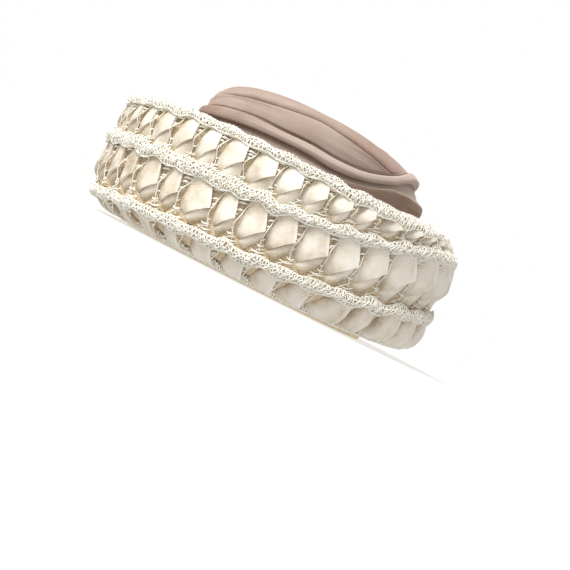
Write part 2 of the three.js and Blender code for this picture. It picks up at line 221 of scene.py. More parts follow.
# Lines of the drape round the crown, every 15 degrees of bearing: heights, and how far it stands out
DRAPE_STEP = 15.0
DRAPE_LINES = {
    "pleat": [120.0, 121.8, 125.0, 127.5, 129.0, 130.8, 132.0, 130.0, 127.6, 124.6, 124.0, 124.0, 124.0],
    "pleat_lift": [0.7, 0.8, 0.9, 1.0, 1.0, 1.0, 1.0, 1.0, 1.0, 0.6, 0.0, 0.0, 0.0],
    "soft": [127.0, 128.5, 131.5, 134.0, 136.0, 137.5, 138.0, 136.5, 134.5, 133.5, 138.0, 140.5, 141.0],
    "roll_top": [111.5, 112.4, 113.6, 114.5, 115.0, 114.0, 114.2, 113.2, 115.6, 123.4, 133.2, 137.3, 138.5],
    "roll_low": [106.5, 106.4, 105.7, 106.0, 106.8, 107.1, 106.9, 105.4, 108.6, 116.4, 126.6, 129.3, 129.6],
    "roll_out": [2.8, 2.9, 3.1, 3.3, 3.5, 3.6, 3.7, 3.7, 3.7, 3.7, 3.7, 3.5, 3.4],
    "crease": [0.9, 0.9, 0.9, 1.1, 1.7, 2.4, 2.8, 2.5, 1.5, 1.0, 1.0, 1.0, 1.0],
    "fold_z": [96.0, 96.0, 96.0, 96.0, 96.5, 98.0, 100.5, 103.0, 107.0, 113.6, 117.0, 118.4, 118.8],
    "fold_out": [1.2, 1.2, 1.2, 1.2, 1.2, 1.2, 1.2, 1.2, 1.6, 3.0, 5.4, 7.4, 7.8],
}
DEEPEST_CREASE = 2.8
# Lengths of the drape's fine creases, and how high they stand
CREASE_WAVES = [(4.2, 0.03), (7.5, 0.06), (13.0, 0.09)]
# How the front of the crown lies in below its shoulder and stands up over it
FRONT_HEIGHTS = [110.0, 115.0, 125.0, 130.0, 135.0, 138.5, 141.5, 145.0, 148.0, 150.0]
FRONT_OUT = [0.0, -1.9, -3.2, -3.4, -2.3, -0.3, 1.0, 1.5, 0.7, 0.0]
# Painted shade in the crepe's colour by its folds: above the pleat, in the crease over the roll, on the top
# towards the back and under the roll and the lower fold; how much darker the front of the top and of the roll
# are; and painted highlights on the lip of the pleat, the crest of the roll, the edge of the lower fold and
# the gap at the back
UNDER_PLEAT_PAINTED_SHADE = 0.9
BACK_TOP_PAINTED_SHADE = 0.5
FRONT_TOP_DARKENING = 0.32
CREASE_SLOT_PAINTED_SHADE = 0.75
PLEAT_LIP_PAINTED_HIGHLIGHT = 0.55
UNDER_FOLD_PAINTED_SHADE = 0.33
UNDER_ROLL_PAINTED_SHADE = 0.2
FRONT_ROLL_DARKENING = 0.6
ROLL_CREST_PAINTED_HIGHLIGHT = 1.05
FOLD_EDGE_PAINTED_HIGHLIGHT = 0.55
BACK_GAP_PAINTED_LIGHT = 0.45

# Colours along each finish's shade, from dark to light; on the crepe and the ribbon, painted shade and
# painted highlights move the shade towards the darkest and lightest colours
CREPE_SHADES = [(0.0, (0.205, 0.119, 0.094)), (0.25, (0.345, 0.243, 0.198)), (0.5, (0.424, 0.336, 0.285)),
                (0.8, (0.505, 0.408, 0.356)), (1.0, (0.545, 0.438, 0.385))]
RIBBON_SHADES = [(0.0, (0.43, 0.34, 0.235)), (0.2, (0.66, 0.575, 0.455)), (0.45, (0.83, 0.77, 0.67)),
                 (0.75, (0.91, 0.87, 0.795))]
STRAW_SHADES = [(0.2, (0.90, 0.85, 0.71)), (0.5, (0.96, 0.935, 0.85)), (0.8, (0.98, 0.97, 0.92))]
BED_SHADES = [(0.1, (0.64, 0.53, 0.35)), (0.45, (0.90, 0.84, 0.68)), (0.85, (0.96, 0.94, 0.86))]
NET_SHADES = [(0.1, (0.64, 0.51, 0.325)), (0.5, (0.82, 0.685, 0.48)), (0.85, (0.89, 0.78, 0.60))]
FLOOR_SHADES = [(0.2, (0.44, 0.436, 0.43)), (0.8, (0.46, 0.456, 0.45))]
CREPE_SHEEN = (1.0, 0.78, 0.68, 1.0)
FLOOR_GLOW = (0.96, 0.955, 0.945, 1.0)
FLOOR_THROWN_LIGHT = (1.0, 0.975, 0.94, 1.0)

# Stage: camera, lights and floor, in metres
CAMERA_PLACE = (0.8038, 0.0317, 0.0134)
CAMERA_ROLL = math.radians(26.77)
SENSOR = 36.0
FOCAL_SHARE = 972.6 / 570.0
FLOOR_HALF = 60.0
FLOOR_DROP = 0.0004
SUNS = [
    {"name": "key", "towards": (0.44, -0.50, 0.76), "strength": 3.5, "softness": 38.0,
     "colour": (1.0, 0.985, 0.955)},
    {"name": "low", "towards": (0.95, -0.06, 0.12), "strength": 0.3, "softness": 60.0,
     "colour": (1.0, 0.985, 0.96)},
]
FILL_COLOUR = (1.0, 0.985, 0.965, 1.0)
FILL_STRENGTH = 0.55
WALL_COLOUR = (1.0, 0.998, 0.995, 1.0)
WALL_STRENGTH = 1.0


# Values that change over the hat

def rising(value, start, reach):
    """0 up to a start, then rising to 1 over the reach."""
    return np.clip((value - start) / reach, 0, 1)


def falling(value, end, reach):
    """1 at first, then falling over the reach to 0 at an end."""
    return np.clip((end - value) / reach, 0, 1)


def soft_line(value, middle, reach):
    """1 on a line, fading over the reach on both sides of it."""
    return np.exp(-((value - middle) / reach) ** 2)


def between(low, high, share):
    return low + (high - low) * share


def all_round(count):
    """Evenly spaced bearings right round the hat."""
    return np.arange(count) * 360.0 / count


def from_front(bearing):
    """Degrees from the front of the hat, alike on both its sides."""
    return np.abs((np.asarray(bearing) + 180.0) % 360.0 - 180.0)


def towards_back(bearing, start, reach):
    """0 up to a bearing on either side of the hat, then rising to 1 over the reach."""
    return rising(from_front(bearing), start, reach)


def along_table(values, step, bearing):
    """Smooth value at a bearing from a table that is alike on both sides of the hat."""
    values = np.asarray(values)
    turned = from_front(bearing)
    last = len(values) - 1
    index = np.minimum((turned / step).astype(int), last - 1)
    share = turned / step - index

    def at(row):
        return values[last - np.abs(last - np.abs(row))]

    before, start, end, after = at(index - 1), at(index), at(index + 1), at(index + 2)
    start_slope = (end - before) / 2
    end_slope = (after - start) / 2
    bend = 3 * (end - start) - 2 * start_slope - end_slope
    twist = 2 * (start - end) + start_slope + end_slope
    return start + share * (start_slope + share * (bend + share * twist))


def row_line(line, bearing):
    return along_table(ROW_LINES[line], ROW_LINE_STEP, bearing)


def drape_line(line, bearing):
    return along_table(DRAPE_LINES[line], DRAPE_STEP, bearing)


def around_hat(front, side, back, bearing):
    """Smooth value at a bearing from those at the front, the sides and the back."""
    angle = np.radians(bearing)
    ends = (front + back) / 4
    return ends + side / 2 + (front - back) / 2 * np.cos(angle) + (ends - side / 2) * np.cos(2 * angle)


def eased_span(start, end, start_slope, end_slope, t):
    """Smooth values from a start to an end with a slope at each, for shares t of the way."""
    return (start * (1 + 2 * t) * (1 - t) ** 2 + start_slope * t * (1 - t) ** 2
            + end * t * t * (3 - 2 * t) + end_slope * t * t * (t - 1))


def curve_values(values, places):
    """Smooth values between evenly spaced ones."""
    values = np.asarray(values, float)
    knots = np.linspace(0, 1, len(values))
    slope = np.gradient(values, knots)
    index = np.clip(np.searchsorted(knots, places, side="right") - 1, 0, len(values) - 2)
    width = knots[1] - knots[0]
    t = (places - knots[index]) / width
    return eased_span(values[index], values[index + 1], slope[index] * width, slope[index + 1] * width, t)


def eased_rows(rows, steps):
    """Smooth curve through rows of values, with no overshoot: (rows, columns) to finer rows."""
    change = np.diff(rows, axis=0)
    slope = np.zeros_like(rows)
    product = change[:-1] * change[1:]
    total = change[:-1] + change[1:]
    slope[1:-1] = np.where(product > 0, 2 * product / np.where(np.abs(total) < 1e-9, 1e-9, total), 0)
    slope[0], slope[-1] = change[0], change[-1]
    finer = []
    for i, count in enumerate(steps[:-1]):
        t = (np.arange(count) / count)[:, None]
        finer.append(eased_span(rows[i], rows[i + 1], slope[i], slope[i + 1], t))
    finer.append(rows[-1:])
    return np.concatenate(finer)


# Shapes of the brim and the crown

def oval_radius(bearing, half_width, half_length):
    angle = np.radians(bearing)
    return half_width * half_length / np.hypot(half_length * np.sin(angle), half_width * np.cos(angle))


def point_at_bearing(bearing, radius, z, centre_y=0.0):
    angle = np.radians(bearing)
    return np.stack([radius * np.sin(angle), centre_y - radius * np.cos(angle), z], axis=-1)


def brim_point(bearing, run, depth):
    """Place on the brim: bearing round the hat, run up its section, depth in from the lace ridges."""
    bearing, run, depth = np.broadcast_arrays(*(np.asarray(x, float) for x in (bearing, run, depth)))
    turn = np.clip((run - TURN_START) / BOTTOM_TURN_RADIUS, 0, math.pi / 2)
    roll = np.clip((run - ROLL_START) / TOP_ROLL_RADIUS, 0, math.pi / 2)
    turn_radius = BOTTOM_TURN_RADIUS - depth
    roll_radius = TOP_ROLL_RADIUS - depth
    zones = [run < TURN_START, run < WALL_START, run < ROLL_START]
    inset = np.select(zones, [FLAT_START_INSET - run,
                              BOTTOM_TURN_RADIUS - turn_radius * np.sin(turn),
                              depth],
                      TOP_ROLL_RADIUS - roll_radius * np.cos(roll) + np.maximum(0, run - ROLL_END))
    z = np.select(zones, [depth,
                          BOTTOM_TURN_RADIUS - turn_radius * np.cos(turn),
                          BOTTOM_TURN_RADIUS + run - WALL_START],
                  BOTTOM_TURN_RADIUS + STANDING_HEIGHT + roll_radius * np.sin(roll))
    radius = oval_radius(bearing, BRIM_HALF_WIDTH, BRIM_HALF_LENGTH) - inset
    return point_at_bearing(bearing, radius, z)


def crown_share(z):
    climb = rising(z, DOME_SPRING_Z, CROWN_TOP_Z - DOME_SPRING_Z)
    wall = 1 + CROWN_FOOT_FLARE * (DOME_SPRING_Z - z) / (DOME_SPRING_Z - CROWN_FOOT_Z)
    return np.where(z < DOME_SPRING_Z, wall, (1 - climb ** DOME_FULLNESS) ** (1 / DOME_FLATNESS))


def crown_point(bearing, z, out):
    """Place on the crown at a bearing and height, moved out along the surface's own normal."""
    bearing, z, out = np.broadcast_arrays(*(np.asarray(x, float) for x in (bearing, z, out)))
    full = oval_radius(bearing, CROWN_HALF_WIDTH, CROWN_HALF_LENGTH)
    slope = full * (crown_share(z + 0.2) - crown_share(z - 0.2)) / 0.4
    length = np.hypot(1, slope)
    return point_at_bearing(bearing, full * crown_share(z) + out / length,
                            z - out * slope / length, CROWN_CENTRE_Y)


# Mesh building

# Name of the painted shading on the cloth, darker where the values are above 0 and lighter where below:
# painted shade under and beside folds and creases, painted highlights on crests and edges, and darker tones
# at the front
PAINTED_SHADING_NAME = "painted_shading"
# Name of the places on woven cloth, in millimetres
CLOTH_RUN = "cloth_run"


def outward(points, faces):
    """The same faces, turned to point out of the closed shape that they make."""
    corners = points[faces]
    volume = np.einsum("ij,ij->", corners[:, 0], np.cross(corners[:, 1], corners[:, 2]))
    volume += np.einsum("ij,ij->", corners[:, 0], np.cross(corners[:, 2], corners[:, -1]))
    return faces if volume > 0 else faces[:, ::-1]


def ring_grid(rows, columns, close_rows=False):
    """Quads of a grid of rows x columns points whose columns go right round."""
    i = np.arange(rows if close_rows else rows - 1)[:, None]
    j = np.arange(columns)[None, :]
    i2 = (i + 1) % rows
    j2 = (j + 1) % columns
    quads = np.stack([i * columns + j, i * columns + j2, i2 * columns + j2, i2 * columns + j], axis=-1)
    return quads.reshape(-1, 4)


def closed_rings(rings):
    """Points and faces of a closed tube of rings, the last joined to the first."""
    points = rings.reshape(-1, 3)
    return points, outward(points, ring_grid(*rings.shape[:2], close_rows=True))


def repeated(quads, copies, step):
    """The same quads for several alike parts whose points follow each other."""
    return (quads[None] + (np.arange(copies) * step)[:, None, None]).reshape(-1, 4)


def thin_sheets(front, back):
    """Closed thin sheets from their front and back points, each (sheets, rows, columns, 3)."""
    sheets, rows, columns = front.shape[:3]
    points = np.concatenate([front.reshape(-1, 3), back.reshape(-1, 3)])
    half = sheets * rows * columns
    index = np.arange(rows * columns).reshape(rows, columns)
    quads = np.stack([index[:-1, :-1], index[:-1, 1:], index[1:, 1:], index[1:, :-1]], axis=-1).reshape(-1, 4)
    rim = np.concatenate([index[0, :-1], index[:-1, -1], index[-1, :0:-1], index[:0:-1, 0]])
    following = np.roll(rim, -1)
    border = np.stack([following, rim, rim + half, following + half], axis=-1)
    one = np.concatenate([quads, quads[:, ::-1] + half, border])
    return points, repeated(one, sheets, rows * columns)


def straw_threads(paths, radius, closed=False):
    """Four-sided threads along paths of (threads, places, 3) points, with capped ends unless closed."""
    sides = 4
    threads, places = paths.shape[:2]
    if closed:
        tangent = np.roll(paths, -1, axis=1) - np.roll(paths, 1, axis=1)
    else:
        tangent = np.gradient(paths, axis=1)
    tangent /= np.linalg.norm(tangent, axis=-1, keepdims=True) + 1e-9
    away = paths * np.array([1.0, 1.0, 0.15]) + np.array([0.0, 0.0, 0.01])
    away = away - tangent * np.sum(away * tangent, axis=-1, keepdims=True)
    away /= np.linalg.norm(away, axis=-1, keepdims=True) + 1e-9
    beside = np.cross(tangent, away)
    radius = np.broadcast_to(np.asarray(radius, float), (threads, places))[..., None, None]
    angle = 2 * math.pi * np.arange(sides) / sides + math.pi / sides
    ring = away[:, :, None] * np.cos(angle)[:, None] + beside[:, :, None] * np.sin(angle)[:, None]
    points = (paths[:, :, None] + radius * ring).reshape(-1, 3)
    i = np.arange(places if closed else places - 1)[:, None]
    j = np.arange(sides)[None, :]
    i2, j2 = (i + 1) % places, (j + 1) % sides
    quads = np.stack([i * sides + j, i2 * sides + j, i2 * sides + j2, i * sides + j2], axis=-1).reshape(-1, 4)
    if not closed:
        end = (places - 1) * sides
        quads = np.concatenate([quads, [[0, 1, 2, 3]], [[end + 3, end + 2, end + 1, end]]])
    return points, repeated(quads, threads, places * sides)


def joined(parts):
    """One list of points and one of quads from several."""
    points, faces, start = [], [], 0
    for part_points, part_faces in parts:
        points.append(part_points)
        faces.append(part_faces + start)
        start += len(part_points)
    return np.concatenate(points), np.concatenate(faces)


def hat_piece(name, points, faces, materials, slot, replaced=(), places=None, crisp=None, finish_of_face=None,
              triangles=None, painted_shading=None):
    """Makes a mesh piece from millimetre points, gives it its finish and sets it on the hat."""
    mesh = bpy.data.meshes.new(name)
    face_list = faces.tolist()
    if triangles is not None:
        face_list += triangles.tolist()
    mesh.from_pydata((points * MM).tolist(), [], face_list)
    for material in materials:
        mesh.materials.append(material)
    if finish_of_face is not None:
        mesh.polygons.foreach_set("material_index", finish_of_face.astype(np.int32))
    if places is not None:
        layer = mesh.uv_layers.new(name=CLOTH_RUN)
        corner = np.empty(len(mesh.loops), dtype=np.int32)
        mesh.loops.foreach_get("vertex_index", corner)
        layer.data.foreach_set("uv", places[corner].astype(np.float32).ravel())
    if painted_shading is not None:
        mesh.attributes.new(PAINTED_SHADING_NAME, "FLOAT", "POINT").data.foreach_set("value", painted_shading.astype(np.float32))
    mesh.shade_smooth()
    if crisp is not None:
        mesh.set_sharp_from_angle(angle=math.radians(crisp))
    mesh.update()
    piece = bpy.data.objects.new(name, mesh)
    bpy.context.scene.collection.objects.link(piece)
    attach(piece, "root")
    if replaced:
        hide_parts(*replaced)


# Finishes

def new_group(name, inputs, outputs):
    """A shader node group with number or vector inputs and named outputs."""
    group = bpy.data.node_groups.new(name, "ShaderNodeTree")
    for label, kind, default in inputs:
        socket = group.interface.new_socket(name=label, in_out="INPUT", socket_type=kind)
        if default is not None:
            socket.default_value = default
    for label, kind in outputs:
        group.interface.new_socket(name=label, in_out="OUTPUT", socket_type=kind)
    return group, group.nodes.new("NodeGroupInput"), group.nodes.new("NodeGroupOutput")


def feed(tree, socket, value):
    """Sets a socket to a number, or links it to another node's output."""
    if isinstance(value, (int, float)):
        socket.default_value = value
    else:
        tree.links.new(value, socket)


def math_node(tree, operation, first, second=None, clamp=False):
    node = tree.nodes.new("ShaderNodeMath")
    node.operation = operation
    node.use_clamp = clamp
    feed(tree, node.inputs[0], first)
    if second is not None:
        feed(tree, node.inputs[1], second)
    return node.outputs[0]


def noise_node(tree, vector, scale, detail, roughness=0.55):
    node = tree.nodes.new("ShaderNodeTexNoise")
    node.inputs["Detail"].default_value = detail
    node.inputs["Roughness"].default_value = roughness
    feed(tree, node.inputs["Scale"], scale)
    tree.links.new(vector, node.inputs["Vector"])
    return node.outputs["Fac"]


def own_place(tree):
    """Place on the piece, in its own coordinates."""
    return tree.nodes.new("ShaderNodeTexCoord").outputs["Object"]


def cloth_mottle_group():
    """Soft uneven shade over a cloth, as a mask about 0.5."""
    group, given, result = new_group(
        "cloth_mottle",
        [("Patch Scale", "NodeSocketFloat", 60.0), ("Patch Share", "NodeSocketFloat", 1.0),
         ("Fleck Scale", "NodeSocketFloat", 900.0), ("Fleck Share", "NodeSocketFloat", 0.4)],
        [("Shade", "NodeSocketFloat")])
    place = own_place(group)

    def part(size, share):
        noise = noise_node(group, place, given.outputs[size], 2.5)
        return math_node(group, "MULTIPLY", math_node(group, "SUBTRACT", noise, 0.5), given.outputs[share])

    both = math_node(group, "ADD", part("Patch Scale", "Patch Share"), part("Fleck Scale", "Fleck Share"))
    group.links.new(math_node(group, "ADD", both, 0.5, clamp=True), result.inputs["Shade"])
    return group


def crossed_weave_group():
    """Height and shadow of crossed threads, from a run across and along the cloth in millimetres."""
    group, given, result = new_group(
        "crossed_weave",
        [("Run", "NodeSocketVector", None), ("Across Pitch", "NodeSocketFloat", 1.2),
         ("Along Pitch", "NodeSocketFloat", 0.6), ("Along Share", "NodeSocketFloat", 0.3)],
        [("Height", "NodeSocketFloat"), ("Furrow", "NodeSocketFloat")])
    split = group.nodes.new("ShaderNodeSeparateXYZ")
    group.links.new(given.outputs["Run"], split.inputs[0])
    wander = noise_node(group, given.outputs["Run"], 0.35, 2.0, 0.5)
    waved = math_node(group, "MULTIPLY", math_node(group, "SUBTRACT", wander, 0.5), 1.4)

    def ribs(run, pitch):
        turns = math_node(group, "DIVIDE", math_node(group, "ADD", run, waved), pitch)
        wave = math_node(group, "SINE", math_node(group, "MULTIPLY", turns, 2 * math.pi))
        return math_node(group, "MULTIPLY", math_node(group, "ADD", wave, 1.0), 0.5)

    over = ribs(split.outputs["Y"], given.outputs["Across Pitch"])
    along = ribs(split.outputs["X"], given.outputs["Along Pitch"])
    height = math_node(group, "ADD", over, math_node(group, "MULTIPLY", along, given.outputs["Along Share"]))
    group.links.new(height, result.inputs["Height"])
    group.links.new(math_node(group, "SUBTRACT", 1.0, over, clamp=True), result.inputs["Furrow"])
    return group


MOTTLE = cloth_mottle_group()
WEAVE = crossed_weave_group()


def finish_start(name, roughness, **constants):
    """A material with its shader, and the constants that are the same all over it."""
    material = bpy.data.materials.new(name)
    material.use_nodes = True
    shader = material.node_tree.nodes["Principled BSDF"]
    shader.inputs["Roughness"].default_value = roughness
    for label, value in constants.items():
        shader.inputs[label.replace("_", " ")].default_value = value
    return material, material.node_tree, shader


def placed_group(tree, group, **values):
    node = tree.nodes.new("ShaderNodeGroup")
    node.node_tree = group
    for label, value in values.items():
        node.inputs[label.replace("_", " ")].default_value = value
    return node


def mottle_shade(tree, **values):
    return placed_group(tree, MOTTLE, **values).outputs["Shade"]


def placed_weave(tree, **values):
    """The weave at its own pitches, along the runs of the piece's cloth."""
    node = placed_group(tree, WEAVE, **values)
    run = tree.nodes.new("ShaderNodeUVMap")
    run.uv_map = CLOTH_RUN
    tree.links.new(run.outputs["UV"], node.inputs["Run"])
    return node.outputs["Height"], node.outputs["Furrow"]


def share_of(tree, value, share):
    return math_node(tree, "MULTIPLY", value, share)


def less(tree, shade, taken):
    """A shade less something, kept between 0 and 1."""
    return math_node(tree, "SUBTRACT", shade, taken, clamp=True)


def with_painted_shading(tree, shade, share):
    """The same shade, darkened by the painted shade on the cloth and lightened where it is a painted
    highlight.
    """
    node = tree.nodes.new("ShaderNodeAttribute")
    node.attribute_name = PAINTED_SHADING_NAME
    return less(tree, shade, share_of(tree, node.outputs["Fac"], share))


def colour_by_shade(tree, shader, shade, stops):
    ramp = tree.nodes.new("ShaderNodeValToRGB")
    while len(ramp.color_ramp.elements) < len(stops):
        ramp.color_ramp.elements.new(0.5)
    for element, (place, colour) in zip(ramp.color_ramp.elements, stops):
        element.position = place
        element.color = (*colour, 1.0)
    tree.links.new(shade, ramp.inputs["Fac"])
    tree.links.new(ramp.outputs["Color"], shader.inputs["Base Color"])


def bump_node(tree, shader, height, distance, strength):
    bump = tree.nodes.new("ShaderNodeBump")
    bump.inputs["Strength"].default_value = strength
    bump.inputs["Distance"].default_value = distance
    tree.links.new(height, bump.inputs["Height"])
    tree.links.new(bump.outputs["Normal"], shader.inputs["Normal"])


def rough_by(tree, shader, value, share, least):
    """Roughness from a least value up, by a share of another value."""
    tree.links.new(math_node(tree, "ADD", share_of(tree, value, share), least), shader.inputs["Roughness"])


def seen_apart(tree, lighting, seen, output):
    """Shows one shader to the eye, and lights the hat with another."""
    path = tree.nodes.new("ShaderNodeLightPath")
    mixed = tree.nodes.new("ShaderNodeMixShader")
    tree.links.new(path.outputs["Is Camera Ray"], mixed.inputs["Fac"])
    tree.links.new(lighting.outputs[0], mixed.inputs[1])
    tree.links.new(seen.outputs[0], mixed.inputs[2])
    tree.links.new(mixed.outputs[0], tree.nodes[output].inputs["Surface"])


def taupe_crepe():
    material, tree, shader = finish_start("taupe_crepe", 0.82, Sheen_Weight=0.35, Sheen_Roughness=0.5,
                                          Sheen_Tint=CREPE_SHEEN, Specular_IOR_Level=0.25)
    shade = mottle_shade(tree, Patch_Scale=38.0, Patch_Share=0.45, Fleck_Scale=1500.0, Fleck_Share=0.5)
    colour_by_shade(tree, shader, with_painted_shading(tree, shade, 0.5), CREPE_SHADES)
    threads, _ = placed_weave(tree, Across_Pitch=0.75, Along_Pitch=0.75, Along_Share=0.8)
    grain = noise_node(tree, own_place(tree), 2200.0, 2.0)
    bump_node(tree, shader, math_node(tree, "ADD", share_of(tree, threads, 0.5), grain), 0.00012, 0.5)
    return material


def cream_ribbon():
    material, tree, shader = finish_start("cream_corded_ribbon", 0.46, Sheen_Weight=0.25, Sheen_Roughness=0.4,
                                          Specular_IOR_Level=0.45)
    cords, furrows = placed_weave(tree, Across_Pitch=1.25, Along_Pitch=0.62, Along_Share=0.25)
    shade = less(tree, mottle_shade(tree, Patch_Scale=70.0, Fleck_Scale=1200.0, Fleck_Share=0.3),
                 share_of(tree, furrows, 0.16))
    colour_by_shade(tree, shader, with_painted_shading(tree, shade, 0.46), RIBBON_SHADES)
    rough_by(tree, shader, furrows, 0.14, 0.40)
    bump_node(tree, shader, cords, 0.00016, 0.55)
    return material


def straw_lace():
    material, tree, shader = finish_start("glossy_straw_lace", 0.3, Specular_IOR_Level=0.6, Coat_Weight=0.35,
                                          Coat_Roughness=0.18)
    shade = mottle_shade(tree, Patch_Scale=140.0, Fleck_Scale=1400.0, Fleck_Share=0.8)
    colour_by_shade(tree, shader, shade, STRAW_SHADES)
    streak = noise_node(tree, own_place(tree), 2600.0, 1.0)
    rough_by(tree, shader, streak, 0.25, 0.2)
    bump_node(tree, shader, streak, 0.0001, 0.5)
    return material


def lace_ground():
    material, tree, shader = finish_start("straw_lace_ground", 0.5, Specular_IOR_Level=0.4)
    cells = tree.nodes.new("ShaderNodeTexVoronoi")
    cells.feature = "DISTANCE_TO_EDGE"
    cells.inputs["Scale"].default_value = 300.0
    tree.links.new(own_place(tree), cells.inputs["Vector"])
    holes = math_node(tree, "MULTIPLY", cells.outputs["Distance"], 4.0, clamp=True)
    # The middles of the cells are painted darker, as painted shade in the ground's holes
    shade = less(tree, mottle_shade(tree, Patch_Scale=90.0, Fleck_Scale=1400.0, Fleck_Share=0.6),
                 share_of(tree, math_node(tree, "SUBTRACT", holes, 0.4), 0.7))
    colour_by_shade(tree, shader, shade, BED_SHADES)
    bump_node(tree, shader, math_node(tree, "SUBTRACT", 1.0, holes), 0.0006, 0.8)
    return material


def tan_net():
    material, tree, shader = finish_start("tan_millinery_net", 0.75, Specular_IOR_Level=0.3)
    threads, _ = placed_weave(tree, Across_Pitch=1.7, Along_Pitch=1.7, Along_Share=1.0)
    shade = math_node(tree, "ADD", mottle_shade(tree, Patch_Scale=45.0, Fleck_Scale=1000.0, Fleck_Share=0.4),
                      share_of(tree, threads, 0.3))
    colour_by_shade(tree, shader, less(tree, shade, 0.3), NET_SHADES)
    bump_node(tree, shader, threads, 0.0004, 0.7)
    return material


def pale_floor():
    """Pale where it is seen, with an even soft light thrown back up under the brim."""
    material, tree, shader = finish_start("pale_floor", 0.9, Specular_IOR_Level=0.1,
                                          Emission_Color=FLOOR_GLOW, Emission_Strength=0.6)
    shade = mottle_shade(tree, Patch_Scale=3.0, Fleck_Scale=60.0, Fleck_Share=0.1)
    colour_by_shade(tree, shader, shade, FLOOR_SHADES)
    thrown = tree.nodes.new("ShaderNodeEmission")
    thrown.inputs["Color"].default_value = FLOOR_THROWN_LIGHT
    thrown.inputs["Strength"].default_value = 0.8
    seen_apart(tree, thrown, shader, "Material Output")
    return material


CREPE = taupe_crepe()
RIBBON = cream_ribbon()
STRAW = straw_lace()
GROUND = lace_ground()
NET = tan_net()


# Crown and its drape

def drape_section(bearing, rows):
    """Heights of a drape and how far it stands out, eased between rows of (height, out, steps)."""
    heights, outs, steps = zip(*rows)

    def eased(values):
        return eased_rows(np.array([np.broadcast_to(value, bearing.shape) for value in values], float), steps)

    return eased(heights), eased(outs)


def drape_creases(bearing, height, seed):
    """Fine creases that wander along a drape."""
    rng = np.random.default_rng(seed)
    angle = np.radians(bearing)
    total = np.zeros(np.broadcast(bearing, height).shape)
    for length, lift in CREASE_WAVES:
        for _ in range(2):
            turn, drift, gate = rng.uniform(0, 2 * math.pi, 3)
            wander = 1.5 * np.sin(2 * angle + drift) + 0.9 * np.sin(5 * angle + 2 * drift)
            strength = np.clip(0.5 + 0.8 * np.sin(3 * angle + gate), 0, 1)
            stretched = length * rng.uniform(0.85, 1.15)
            total += lift * strength * np.sin(2 * math.pi * height / stretched + turn + wander)
    return total


def drape_places(bearing, rings):
    """Runs round and up the cloth of a drape's rings."""
    climbed = np.cumsum(np.linalg.norm(np.diff(rings, axis=0, prepend=rings[:1]), axis=-1), axis=0)
    around = np.broadcast_to(bearing * CROWN_MM_A_DEGREE, climbed.shape)
    return np.stack([around, climbed], axis=-1).reshape(-1, 2)


